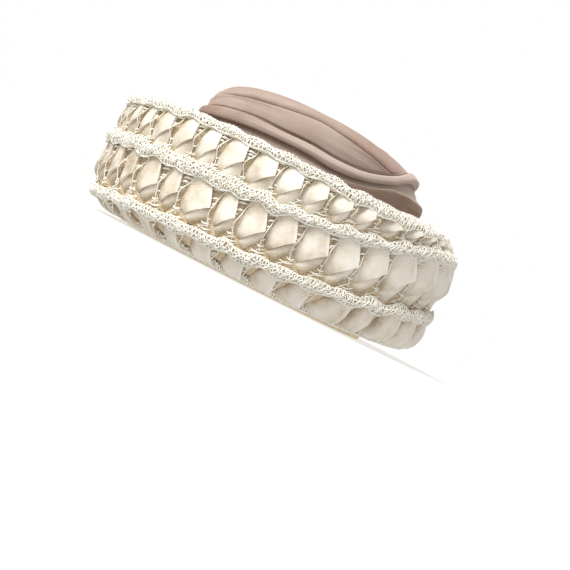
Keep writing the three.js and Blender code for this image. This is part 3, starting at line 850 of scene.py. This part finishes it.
def crown_drape():
    bearing = all_round(CROWN_COLUMNS)
    roll_top = drape_line("roll_top", bearing)
    roll_low = drape_line("roll_low", bearing)
    pleat = np.maximum(drape_line("pleat", bearing), roll_top + 1.0)
    lift = drape_line("pleat_lift", bearing)
    soft = np.maximum(drape_line("soft", bearing), pleat + 3.0)
    slot = drape_line("crease", bearing) / DEEPEST_CREASE
    turned = from_front(bearing)
    sliver = rising(turned, 52, 14) * falling(turned, 104, 14)
    full = rising(turned, 18, 30) * falling(turned, 118, 28)
    room = np.maximum(rising(pleat, roll_top, 5), 0.2)
    shoulder = np.minimum(np.maximum(pleat + 9.0, soft + 2.5), 146.5)
    calm = falling(shoulder, CROWN_TOP_Z, 10) ** 2
    panel_low = roll_top + 2.8 * room
    panel_high = pleat - 1.1 * room

    def dome(share):
        return between(shoulder, CROWN_TOP_Z, share)

    z, out = drape_section(bearing, [
        (CROWN_FOOT_Z, 0, 3),
        (26, 0, 3),
        (WALL_TUCKS_IN_Z, 0, 3),
        (BAND_STARTS_Z, -4, 4),
        (roll_low - 6, -5, 4),
        (roll_top - 4, -4.8, 4),
        (roll_top - 0.9, -3.4, 4),
        (roll_top + 0.1 * room, -2.0 * slot - 0.3, 4),
        (roll_top + 0.9 * room, -1.2 * slot + 1.3 * sliver, 4),
        (roll_top + 1.7 * room, -1.4 * slot - 0.5 * sliver, 4),
        (panel_low, 0.35, 6),
        (between(panel_low, panel_high, 0.45), 0.7 * lift, 8),
        (between(panel_low, panel_high, 0.8), 0.75 * lift, 6),
        (panel_high, 1.25 * lift, 5),
        (pleat - 0.3 * room, 1.7 * lift, 4),
        (pleat + 0.05, 1.3 * lift, 4),
        (pleat + 0.25, -1.4 * lift, 4),
        (pleat + 1.0, -1.1 * lift, 5),
        (pleat + 2.0, 0.5 * full, 5),
        (pleat + 4.0, 2.1 * full, 6),
        (pleat + 6.0, 2.3 * full, 6),
        (shoulder, 0.8 * full + 0.1, 6),
        (dome(0.3), 0.45 * calm, 6),
        (dome(0.45), -0.1 * calm, 5),
        (dome(0.7), 0.3 * calm, 5),
        (dome(0.88), 0, 5),
        (dome(0.96), 0.1 * calm, 4),
        (dome(0.992), 0, 4),
        (dome(0.9993), 0, 1),
    ])
    exposed = rising(z, roll_top, 2.0) * falling(z, CROWN_TOP_Z - 0.6, 3.0)
    out = out + exposed * drape_creases(bearing[None], z * 1.25, 21)
    front = np.clip(np.cos(np.radians(bearing)), 0, 1) ** 1.2
    out = out + front * np.interp(z, FRONT_HEIGHTS, FRONT_OUT)
    # Painted shade above the pleat, on the top towards the back and in the crease over the roll, a darker top
    # at the front, and a painted highlight on the pleat's lip
    above_pleat_shade = UNDER_PLEAT_PAINTED_SHADE * lift * soft_line(z, pleat + 1.0, 2.0 + 1.4 * rising(turned, 92, 45))
    painted_shading = (above_pleat_shade * (z > pleat)
            + BACK_TOP_PAINTED_SHADE * rising(turned, 72, 50) * rising(z, pleat, 4) * falling(z, CROWN_TOP_Z, 3)
            + FRONT_TOP_DARKENING * (1 - rising(turned, 35, 30)) * rising(z, pleat, 6)
            + np.clip(CREASE_SLOT_PAINTED_SHADE * slot, 0, 0.9) * soft_line(z, roll_top + 0.8, 1.5)
            - PLEAT_LIP_PAINTED_HIGHLIGHT * lift * soft_line(z, pleat - 0.5, 0.6))

    def lining(share):
        return between(roll_top, CROWN_TOP_Z, share)

    inside = crown_point(bearing[None], *drape_section(bearing, [
        (CROWN_FOOT_Z, -CROWN_WALL, 2),
        (WALL_TUCKS_IN_Z, -CROWN_WALL, 2),
        (BAND_STARTS_Z, -4 - CROWN_WALL, 3),
        (roll_top - 4, -5 - CROWN_WALL, 3),
        (roll_top + 4, -(CROWN_WALL + 1.2), 3),
        (lining(0.5), -CROWN_WALL, 4),
        (lining(0.85), -CROWN_WALL, 4),
        (lining(0.97), -CROWN_WALL, 3),
        (lining(0.998), -CROWN_WALL, 1),
    ]))
    rings = np.concatenate([crown_point(bearing[None], z, out)[::-1], inside])
    tops = np.array([[0, CROWN_CENTRE_Y, CROWN_TOP_Z], [0, CROWN_CENTRE_Y, CROWN_TOP_Z - CROWN_WALL]])
    points = np.concatenate([rings.reshape(-1, 3), tops])
    quads = ring_grid(len(rings), CROWN_COLUMNS)
    column = np.arange(CROWN_COLUMNS)
    following = (column + 1) % CROWN_COLUMNS
    outer_top = len(rings) * CROWN_COLUMNS
    last = outer_top - CROWN_COLUMNS
    fans = np.concatenate([
        np.stack([np.full_like(column, outer_top), following, column], axis=-1),
        np.stack([np.full_like(column, outer_top + 1), last + column, last + following], axis=-1)])
    if outward(points, quads) is not quads:
        quads, fans = quads[:, ::-1], fans[:, ::-1]
    places = np.concatenate([drape_places(bearing, rings), np.zeros((len(tops), 2))])
    painted_shading = np.concatenate([painted_shading[::-1].ravel(), np.zeros(inside.size // 3 + len(tops))])
    hat_piece("crown_drape", points, quads, [CREPE], "crown_crepe", ["crown"], places, triangles=fans,
              painted_shading=painted_shading)


def drape_band():
    bearing = all_round(CROWN_COLUMNS)
    roll_top = drape_line("roll_top", bearing)
    roll_low = drape_line("roll_low", bearing)
    roll_out = drape_line("roll_out", bearing)
    fold_z = np.minimum(drape_line("fold_z", bearing), roll_low - 4.0)
    fold_out = drape_line("fold_out", bearing)
    middle = (roll_top + roll_low) / 2
    half = (roll_top - roll_low) / 2
    crisp = towards_back(bearing, 95, 35)
    behind = towards_back(bearing, 148, 24)
    behind = behind * behind * (3 - 2 * behind)

    def roll_z(degrees):
        return middle + half * math.sin(math.radians(degrees)) * 1.04

    def roll_reach(degrees, lift=1.0):
        return roll_out * lift * (0.25 + 0.75 * math.cos(math.radians(degrees)) ** 0.7)

    def at_back(elsewhere, back):
        return between(elsewhere, back, behind)

    z, out = drape_section(bearing, [
        (BAND_STARTS_Z, -2, 4),
        (78, -0.8, 5),
        (fold_z - 10.7, at_back(0.3 * fold_out, 4.4), 6),
        (fold_z - 5.6, at_back(0.62 * fold_out, 8.7), 6),
        (fold_z - 1.2, at_back(0.97 * fold_out, 8.4), 5),
        (fold_z, fold_out, 5),
        (fold_z + 0.8, fold_out - 0.6 - 1.0 * crisp, 5),
        (between(fold_z, roll_low, 0.25), at_back(0.6 * fold_out - 0.6 - 0.8 * crisp, 1.6), 6),
        (between(fold_z, roll_low, 0.7), at_back(0.1 * fold_out - 1.3, -1.4), 6),
        (roll_low + 0.2, at_back(-1.8, -3.0), 6),
        (roll_z(-75), at_back(roll_reach(-75), -2.7), 5),
        (roll_z(-40), at_back(roll_reach(-40), -1.0), 5),
        (roll_z(-5), roll_reach(-5, 1.04), 5),
        (roll_z(25), roll_reach(25), 5),
        (roll_z(55), roll_reach(55), 5),
        (roll_z(88), roll_reach(88), 5),
        (roll_top - 0.6, -1.6, 4),
        (roll_top - 2.6, -3.4, 1),
    ])
    out = out + rising(z, 84, 6) * drape_creases(bearing[None], z * 1.2 + out, 33)
    inside = crown_point(bearing[None], *drape_section(bearing, [
        (roll_top - 2.9, -4.6, 3),
        (roll_top - 6, -5.0, 3),
        ((roll_low + fold_z) / 2, at_back(-3.6, -5.0), 4),
        (fold_z - 3, np.minimum(fold_out - 3.4, -1.0), 6),
        (BAND_STARTS_Z, -3.6, 1),
    ]))
    rings = np.concatenate([crown_point(bearing[None], z, out), inside])
    # Painted shade under the lower fold and under the roll, a darker roll at the front, and painted
    # highlights on the roll's crest, the lower fold's edge and the gap between them at the back
    under_fold_shade = (UNDER_FOLD_PAINTED_SHADE + 0.03 * crisp) * falling(z, fold_z + 0.4, 1.2)
    under_roll_shade = UNDER_ROLL_PAINTED_SHADE * soft_line(z, roll_low - 0.5, 2.2) * falling(out, 2.2, 1.5)
    front_roll_darker = FRONT_ROLL_DARKENING * (1 - towards_back(bearing, 12, 85)) * rising(z, roll_low - 1, 1.5)
    crest = (ROLL_CREST_PAINTED_HIGHLIGHT * towards_back(bearing, 50, 40) * soft_line(z, middle + 0.1 * half, 1.1 * half)
             * (out > 1.5))
    fold_line_highlight = FOLD_EDGE_PAINTED_HIGHLIGHT * crisp * soft_line(z, fold_z + 0.1, 0.7)
    painted_gap_light = BACK_GAP_PAINTED_LIGHT * crisp * rising(z, fold_z, 2) * falling(z, roll_low, 2)
    painted_shading = np.clip(under_fold_shade + under_roll_shade, 0, 1) + front_roll_darker - crest - fold_line_highlight - painted_gap_light
    painted_shading = np.concatenate([painted_shading.ravel(), np.zeros(inside.size // 3)])
    hat_piece("drape_band_fold", *closed_rings(rings), [CREPE], "crown_crepe", ["drape_band"],
              drape_places(bearing, rings), painted_shading=painted_shading)


# Brim

def brim_net():
    bearing = all_round(BRIM_COLUMNS)
    same = np.ones_like(bearing)
    top = row_line("top", bearing) - BRIM_EDGE_BELOW_LACE
    share = np.linspace(0, 1, BRIM_STEPS)[:, None]
    wall_runs = np.concatenate([between(TURN_START, WALL_START, share[:-1]) * same,
                                between(WALL_START, ROLL_START, share[:-1]) * same,
                                between(ROLL_START, top, share)])

    def face(foot, wall_depth):
        """Runs and depths of one side of the net: pairs over the foot, then up the wall."""
        foot_runs, foot_depths = np.array(foot).T[..., None] * same
        return np.concatenate([foot_runs, wall_runs]), np.concatenate(
            [foot_depths, np.full_like(wall_runs, wall_depth)])

    inner = BRIM_DEPTH + BRIM_WALL
    outside_runs, outside_depth = face(
        [(FOOT_INNER_RUN, 0.0), (FOOT_MIDDLE_RUN, 0.0), (FOOT_OUTER_RUN - FOOT_EDGE_RUN, 0.0),
         (FOOT_OUTER_RUN, FOOT_EDGE_DEPTH), (FOOT_RAMP_RUN, BRIM_DEPTH), (FLAT_MIDDLE_RUN, BRIM_DEPTH)],
        BRIM_DEPTH)
    inside_runs, inside_depth = face(
        [(FOOT_INNER_RUN, BRIM_WALL), (FOOT_MIDDLE_RUN, BRIM_WALL), (FOOT_OUTER_RUN - BRIM_WALL, BRIM_WALL),
         (FOOT_RAMP_RUN - BRIM_WALL, inner), (FLAT_MIDDLE_RUN, inner)], inner)
    runs = np.concatenate([outside_runs, inside_runs[::-1]])
    depth = np.concatenate([outside_depth, inside_depth[::-1]])
    rings = brim_point(bearing[None], runs, depth)
    around = np.broadcast_to(bearing * BRIM_MM_A_DEGREE, runs.shape)
    places = np.stack([around, runs], axis=-1).reshape(-1, 2)
    hat_piece("brim_net_base", *closed_rings(rings), [NET], "brim_net", ["brim"], places, crisp=55)


# Folded ribbon

def fold_corners(row, rng):
    """Bearings of the folds' free corners, right round the hat: the uneven ones, then the rest."""
    known = row["first"] + np.concatenate([[0.0], np.cumsum(row["steps"])])
    left = row["folds"] - len(known)
    gap = known[0] + 360.0 - known[-1]
    steps = 1 + STEP_SPREAD * rng.uniform(-1, 1, left + 1)
    steps *= gap / steps.sum()
    return np.concatenate([known, known[-1] + np.cumsum(steps)[:-1]])


class RibbonRow:
    """Places on one row of ribbon folds."""

    def __init__(self, row):
        self.row = row
        self.rng = np.random.default_rng(row["seed"])
        self.corner = fold_corners(row, self.rng)
        self.pitch = np.roll(np.diff(self.corner, append=self.corner[0] + 360.0), 1)
        self.next_pitch = np.roll(self.pitch, -1)

    def place(self, across, up, depth):
        """Points from shares across and up, each (folds, ...), and depths."""
        shape = (-1,) + (1,) * (np.ndim(across) - 1)
        corner, pitch = self.corner.reshape(shape), self.pitch.reshape(shape)
        following = self.next_pitch.reshape(shape)
        bearing = corner + np.where(across > 0, across * following, across * pitch)
        low = row_line(self.row["low"], bearing) + self.row["low_edge"]
        high = row_line(self.row["high"], bearing) - self.row["high_edge"]
        puff = around_hat(*self.row["puff"], bearing)
        puffed = depth - puff * np.clip(1 - depth / PUFF_DEPTH, 0, None)
        return brim_point(bearing, between(low, high, up), puffed)

    def gap_arch(self, bearing, shift, power):
        """1 over the middle of each gap between folds and 0 over the middle of each fold."""
        gaps = np.sort((self.corner + shift * self.next_pitch) % 360.0)
        gaps = np.concatenate([gaps[-1:] - 360.0, gaps, gaps[:1] + 360.0])
        turned = np.asarray(bearing) % 360.0
        index = np.clip(np.searchsorted(gaps, turned), 1, len(gaps) - 1)
        share = (turned - gaps[index - 1]) / (gaps[index] - gaps[index - 1])
        return np.abs(np.cos(math.pi * share)) ** power


def edge_curve(edge, key, places, jitter):
    """An edge's values, with the bends between its straight stretches a little eased."""
    straight = np.interp(places, np.linspace(0, 1, len(edge[key])), edge[key])
    return (0.6 * straight + 0.4 * curve_values(edge[key], places))[None, :] + jitter[:, None]


def across_sheet(left, right, share):
    return between(left[:, :, None], right[:, :, None], share)


def narrowed(cells, across):
    """The same shares across, on folds that get narrower towards the back."""
    narrow = FOLD_EDGES[cells.row["name"]]["narrow"] * towards_back(cells.corner, 92.0, 30.0)[:, None, None]
    return across * (1 - 0.40 * narrow) - 0.2 * narrow


def turned_under(cells, across, up, depth):
    """Strips that turn back from the folds' free edges down to the net."""
    t = np.linspace(0, 1, 5)[None, None, :]
    strip_across = across[:, :, None] - 0.02 * t - 0.09 * t * t
    strip_up = up[:, :, None] + 0 * t
    strip_depth = (depth[:, :, None] + 0.3) * (1 - t) + (BRIM_DEPTH + 0.1) * t
    return thin_sheets(cells.place(strip_across, strip_up, strip_depth),
                       cells.place(strip_across - 0.02, strip_up, strip_depth))


def folded_back(cells, across, up, depth):
    """Strips that turn in from the folds' creases to the part that lies under them."""
    t = np.linspace(0, 1, 3)[None, None, :]
    strip_across = across[:, :, None] + 0 * t
    strip_up = up[:, :, None] + 0.03 * t
    strip_depth = (depth[:, :, None] + 0.2) * (1 - t) + np.minimum(depth[:, :, None] + 3.2, SEWN_DEPTH) * t
    return thin_sheets(cells.place(strip_across, strip_up, strip_depth),
                       cells.place(strip_across, strip_up + 0.012, strip_depth))


def fold_grid(size):
    """Shares across a fold's cloth, and down it, ready for (folds, down, across)."""
    return np.linspace(0, 1, size[0])[None, None, :], np.linspace(0, 1, size[1])[None, :, None]


def ribbon_folds(cells):
    row, rng = cells.row, cells.rng
    edges = FOLD_EDGES[row["name"]]
    count = row["folds"]
    right_up = rng.normal(0, 0.012, count)
    right_depth = rng.normal(0, 0.22, count)
    left_across = rng.normal(0, 0.014, count)
    left_up = rng.normal(0, 0.014, count)
    curl = rng.uniform(2.8, 3.8, count)[:, None, None]
    ripple = rng.uniform(0, 2 * math.pi, count)[:, None, None]
    still = np.zeros(count)
    fold_run = FOLD_CLOTH_STEP * np.arange(count)[:, None, None]
    # Darker towards the front, and in the middle row painted lighter towards the back, as painted light
    front_darker_back_paler = (FRONT_DARKENING * (1 - towards_back(cells.corner, 26.0, 52.0))
                  + edges["back_painted_shading"] * towards_back(cells.corner, 98.0, 24.0))[:, None, None]

    def spread(key, left, left_jitter, right, right_jitter, down, share):
        """Values over the cloth between a fold's left and right edges."""
        places = down[0, :, 0]
        return across_sheet(edge_curve(edges[left], key, places, left_jitter),
                            edge_curve(edges[right], key, places, right_jitter), share)

    def cloth(across, up, depth):
        """Thin cloth, and the strips that turn under from its free edges."""
        sheets = thin_sheets(cells.place(across, up, depth), cells.place(across, up, depth + RIBBON_THICK))
        return sheets, turned_under(cells, across[:, :, -1], up[:, :, -1], depth[:, :, -1])

    def woven_places(stretch, down, mix):
        """Runs on the ribbon's weave, a new stretch of it on each fold."""
        start, width, length = stretch
        runs = np.broadcast_arrays(width * mix + fold_run + start, length * down + 0 * mix)
        return np.stack(runs, axis=-1).reshape(-1, 2)

    mix, down = fold_grid(UPPER_GRID)
    across = narrowed(cells, spread("across", "left", left_across, "right", still, down, mix))
    up = spread("up", "left", left_up, "right", right_up, down, mix)
    up = up + 0.03 * np.sin(math.pi * mix) * (1 - down) ** 2
    depth = spread("depth", "left", still, "right", right_depth, down, 1 - (1 - mix) ** curl)
    depth = depth + 0.16 * np.sin(2.4 * math.pi * mix + ripple + 1.3 * down)
    upper, upper_strips = cloth(across, up, depth)
    crease_strips = folded_back(cells, across[:, 0, :], up[:, 0, :], depth[:, 0, :])
    # Painted shade on each fold's tucked side, where the fold before it shades it, less of it on narrowing
    # folds towards the back, painted shading on the free half, darker or lighter by row, and a painted
    # highlight on the woven edge
    paler = (1 - 0.6 * edges["narrow"] * towards_back(cells.corner, 85.0, 25.0))[:, None, None]
    upper_painted_shading = (edges["shade"] * paler * falling(mix, 0.6, 0.6) ** 1.5
                  + edges["free_edge_painted_shading"] * rising(mix, 0.35, 0.45)
                  - WOVEN_EDGE_PAINTED_HIGHLIGHT * rising(mix, 0.88, 0.12) + front_darker_back_paler + 0 * depth).ravel()
    upper_places = woven_places(UPPER_CLOTH, down, mix)

    mix, down = fold_grid(LOWER_GRID)
    across = narrowed(cells, spread("across", "under_left", left_across, "under_right", still, down, mix))
    up = spread("up", "under_left", left_up, "under_right", right_up, down, mix)
    by_row = np.stack([curve_values(line, mix[0, 0]) for line in LOWER_DEPTHS])
    tongue = np.stack([curve_values(column, down[0, :, 0]) for column in by_row.T], axis=-1)
    depth = tongue[None] + right_depth[:, None, None] * mix + 0.12 * np.sin(5 * mix + ripple)
    foot_in = around_hat(*row["foot_in"], cells.corner)[:, None, None]
    further = np.minimum(depth + foot_in * (0.4 + 0.6 * down), FOOT_DEPTH)
    depth = np.where(depth < FOOT_DEPTH, further, depth)
    lower, lower_strips = cloth(across, up, depth)
    # Painted shade under the crease, towards the free edge and at the foot
    lower_painted_shading = (CREASE_PAINTED_SHADE * soft_line(down, 0.05, 0.2) + UNDER_EDGE_PAINTED_SHADE * rising(mix, 0.5, 1.0)
                  + edges["foot_painted_shading"] * rising(down, 0.4, 0.4) + front_darker_back_paler + 0 * depth).ravel()
    lower_places = woven_places(LOWER_CLOTH, down, mix)

    points, faces = joined([upper, lower, upper_strips, lower_strips, crease_strips])
    strips = len(upper_strips[0]) + len(lower_strips[0]) + len(crease_strips[0])
    places = np.concatenate([upper_places, upper_places, lower_places, lower_places, np.zeros((strips, 2))])
    # The turned-under strips get painted light, a lighter tone where they lie in shade
    painted_shading = np.concatenate([upper_painted_shading, upper_painted_shading, lower_painted_shading, lower_painted_shading, np.full(strips, STRIP_PAINTED_LIGHT)])
    name = row["name"].replace("ribbon_row", "ribbon_folds")
    hat_piece(name, points, outward(points, faces), [RIBBON], "ribbon", [row["name"]], places, crisp=50,
              painted_shading=painted_shading)


def gap_threads(cells):
    """Straw threads that lie along the folds' edges and cross the gaps between them."""
    row, rng = cells.row, cells.rng
    count = row["folds"]

    def strand(across, up, depth, places, spread, bend):
        """A thread at each fold, through values across, up and in, a little apart from each other."""
        t = np.linspace(0, 1, places)
        values = [np.broadcast_to(curve_values(v, t), (count, places)) for v in (across, up, depth)]
        waves = rng.uniform(1.0, 2.2, (count, 1)) * t + rng.uniform(0, 1, (count, 1))
        sway = bend * np.sin(2 * math.pi * waves)
        return cells.place(values[0] + rng.normal(0, spread, (count, 1)) + sway,
                           values[1] + rng.normal(0, spread, (count, 1)), values[2] + 8 * sway)

    parts = []
    for across, up, depth, places, bend in LONG_STRANDS:
        parts.append(straw_threads(strand(across, up, depth, places, STRAND_SPREAD, bend), STRAND_RADIUS))
    for strands, lifts, depth, thickness in SHORT_STRANDS:
        radii = thickness * SHORT_STRAND_RADII
        for up, start, end in strands:
            path = strand([start, (start + end) / 2, end], [up + lift for lift in lifts], depth, len(radii),
                          SHORT_STRAND_SPREAD, 0.0)
            parts.append(straw_threads(path, radii))
    points, faces = joined(parts)
    name = row["name"].replace("ribbon_row", "gap_threads")
    hat_piece(name, points, outward(points, faces), [STRAW], "lace")


# Openwork lace

class LaceLine:
    """Places on one line of lace between two ribbon rows."""

    def __init__(self, lace, above, below):
        self.lace = lace
        self.above = above
        self.below = below
        self.rng = np.random.default_rng(lace["seed"])

    def middle_and_half(self, bearing):
        """Run of the lace's middle up the brim, and its half width."""
        lace = self.lace
        wider = lace["back_half"] * towards_back(bearing, 95.0, 35.0)
        beside = towards_back(bearing, 78.0, 20.0)
        slimmer = lace["side_slim"] * beside * (1 - towards_back(bearing, 128.0, 20.0))
        middle = row_line(lace["line"], bearing) + lace["shift"] - wider - slimmer
        return middle, lace["half"] + wider - slimmer

    def place(self, bearing, across, lift):
        """Point of the lace: across is a share of its half width, lift stands off its domed face."""
        lace = self.lace
        middle, half = self.middle_and_half(bearing)
        angle = np.radians(bearing)
        waves = np.sin(angle * 23 + lace["seed"]) + np.sin(angle * 31 + 2 * lace["seed"])
        drift = LACE_DRIFT * half * waves
        upper = half + lace["scallop"] * (self.above.gap_arch(bearing, 0.07, 1.0) - 0.5) + drift
        lower = half + lace["scallop"] * 1.1 * (self.below.gap_arch(bearing, -0.05, 1.3) - 0.5) - drift
        run = middle + across * np.where(across > 0, upper, lower)
        domed = lace["crest"] + LACE_EDGE_DROP * np.abs(across) ** 2.2
        return brim_point(bearing, run, domed - lift)

    def edge_cords(self):
        """A plain cord along the lower edge and a picot cord along the upper one."""
        bearing = all_round(PLAIN_CORD_PLACES)
        angle = np.radians(bearing)
        uneven = 0.05 * np.sin(angle * 17) + 0.04 * np.sin(angle * 29)
        plain = self.place(bearing, -LACE_EDGE - uneven, 0.2 + 0.3 * np.sin(angle * 97))
        bearing = all_round(EYELET_COUNT * PICOT_PLACES)
        turn = np.radians(bearing) * EYELET_COUNT
        picot = self.place(bearing + 0.35 * np.sin(2 * turn), LACE_EDGE + 0.13 * np.cos(turn),
                           0.2 + 0.35 * np.sin(turn))
        return [straw_threads(plain[None], PLAIN_CORD_RADIUS, closed=True),
                straw_threads(picot[None], PICOT_CORD_RADIUS, closed=True)]

    def zigzag(self):
        """One thread that swings unevenly from edge to edge, right round the hat."""
        turns = int(round(LACE_ROUND / ZIGZAG_PERIOD))
        total = turns * ZIGZAG_PLACES
        phase = np.arange(total) / ZIGZAG_PLACES
        knots = np.arange(turns * 2 + 1) * ZIGZAG_PLACES / 2

        def along_thread(values):
            return np.interp(np.arange(total), knots, np.append(values, values[0]))

        swing = along_thread(self.rng.uniform(0.75, 1.2, turns * 2))
        wobble = along_thread(self.rng.normal(0, 0.4, turns * 2))
        wave = np.arcsin(np.sin(2 * math.pi * phase) * 0.96) / (math.pi / 2)
        bearing = all_round(total) + (1.2 * np.sin(4 * math.pi * phase) + wobble) / BRIM_MM_A_DEGREE
        path = self.place(bearing, np.clip(0.92 * wave * swing, -1.1, 1.1),
                          0.2 + 0.3 * np.cos(2 * math.pi * phase))
        return straw_threads(path[None], LACE_THREAD_RADIUS, closed=True)

    def eyelets(self):
        """Rows of small oval rings, each with its own size, heading and tilt."""
        rng = self.rng
        count = EYELET_COUNT
        turn = 2 * math.pi * np.arange(EYELET_PLACES)[None] / EYELET_PLACES
        rings = []
        for number, row_across in enumerate(EYELET_ROWS):
            centre = (np.arange(count) + 0.5 * number + rng.uniform(-0.22, 0.22, count)) * 360.0 / count
            across = row_across + rng.normal(0, 0.07, count)
            size = rng.uniform(1.15, 1.75, (count, 1))
            squash = rng.uniform(0.7, 1.0, (count, 1))
            heading = rng.uniform(0, math.pi, (count, 1))
            tilt = rng.uniform(-0.5, 0.5, (count, 1))
            lift = rng.uniform(-0.3, 0.4, (count, 1))
            x, y = size * np.cos(turn), size * squash * np.sin(turn)
            bearing = centre[:, None] + (x * np.cos(heading) - y * np.sin(heading)) / BRIM_MM_A_DEGREE
            ring_across = across[:, None] + (x * np.sin(heading) + y * np.cos(heading)) / self.lace["half"]
            paths = self.place(bearing, ring_across, lift + 0.6 * tilt * y)
            rings.append(straw_threads(paths, LACE_THREAD_RADIUS, closed=True))
        return rings

    def bed(self):
        """Closed strip under the threads, sewn down on the net."""
        bearing = all_round(BED_COLUMNS)
        lift = BED_LIFT + 0.3 * np.sin(np.radians(bearing) * 97)[None] * np.cos(BED_SHARES * 4)
        top = self.place(bearing[None], BED_SHARES * np.ones_like(bearing), lift)
        middle, half = self.middle_and_half(bearing)
        under = brim_point(bearing[None], middle + self.lace["foot"] * BED_SHARES[::-1] * half, SEWN_DEPTH)
        return closed_rings(np.concatenate([top, under]))


def lace_line(line):
    thread_points, thread_faces = joined([*line.edge_cords(), line.zigzag(), *line.eyelets()])
    bed_points, bed_faces = line.bed()
    points, faces = joined([(thread_points, outward(thread_points, thread_faces)), (bed_points, bed_faces)])
    finish_of_face = np.concatenate([np.zeros(len(thread_faces)), np.ones(len(bed_faces))])
    name = line.lace["name"]
    hat_piece(name.replace("lace_", "straw_lace_"), points, faces, [STRAW, GROUND], "lace", [name],
              finish_of_face=finish_of_face)


# Stage

def floor():
    half, z = FLOOR_HALF, -FLOOR_DROP
    mesh = bpy.data.meshes.new("floor")
    corners = [(-half, -half, z), (half, -half, z), (half, half, z), (-half, half, z)]
    mesh.from_pydata(corners, [], [(0, 1, 2, 3)])
    mesh.materials.append(pale_floor())
    piece = bpy.data.objects.new("floor", mesh)
    bpy.context.scene.collection.objects.link(piece)


def soft_sun(name, towards, strength, softness, colour):
    """Even light from a wide source in one direction, so that the floor is lit alike all over."""
    data = bpy.data.lights.new(name, "SUN")
    data.energy = strength
    data.angle = math.radians(softness)
    data.color = colour
    lamp = bpy.data.objects.new(name, data)
    back = np.array(towards, float) / np.linalg.norm(towards)
    side = np.cross([0.0, 0.0, 1.0], back)
    side /= np.linalg.norm(side)
    up = np.cross(back, side)
    matrix = np.eye(4)
    matrix[:3] = np.stack([side, up, back, 2 * back], axis=-1)
    lamp.matrix_world = Matrix(matrix.tolist())
    bpy.context.scene.collection.objects.link(lamp)


def studio():
    world = bpy.data.worlds.new("studio")
    world.use_nodes = True
    tree = world.node_tree
    fill, wall = tree.nodes["Background"], tree.nodes.new("ShaderNodeBackground")
    for node, colour, strength in ((fill, FILL_COLOUR, FILL_STRENGTH), (wall, WALL_COLOUR, WALL_STRENGTH)):
        node.inputs["Color"].default_value = colour
        node.inputs["Strength"].default_value = strength
    seen_apart(tree, fill, wall, "World Output")
    bpy.context.scene.world = world
    for sun in SUNS:
        soft_sun(**sun)
    bpy.context.scene.view_settings.view_transform = "Standard"


def photo_camera():
    data = bpy.data.cameras.new("camera")
    data.sensor_width = SENSOR
    data.lens = SENSOR * FOCAL_SHARE
    data.clip_start = 0.01
    data.clip_end = 200.0
    camera = bpy.data.objects.new("camera", data)
    c, s = math.cos(CAMERA_ROLL), math.sin(CAMERA_ROLL)
    camera.matrix_world = Matrix(((0.0, 0.0, 1.0, CAMERA_PLACE[0]),
                                  (c, -s, 0.0, CAMERA_PLACE[1]),
                                  (s, c, 0.0, CAMERA_PLACE[2]),
                                  (0.0, 0.0, 0.0, 1.0)))
    bpy.context.scene.collection.objects.link(camera)
    bpy.context.scene.camera = camera


photo_camera()
studio()
floor()
crown_drape()
drape_band()
brim_net()
ribbon_cells = {row["name"].split("_")[-1]: RibbonRow(row) for row in RIBBON_ROWS}
for cells in ribbon_cells.values():
    ribbon_folds(cells)
    gap_threads(cells)
for lace in LACE_LINES:
    lace_line(LaceLine(lace, ribbon_cells[lace["above"]], ribbon_cells[lace["below"]]))
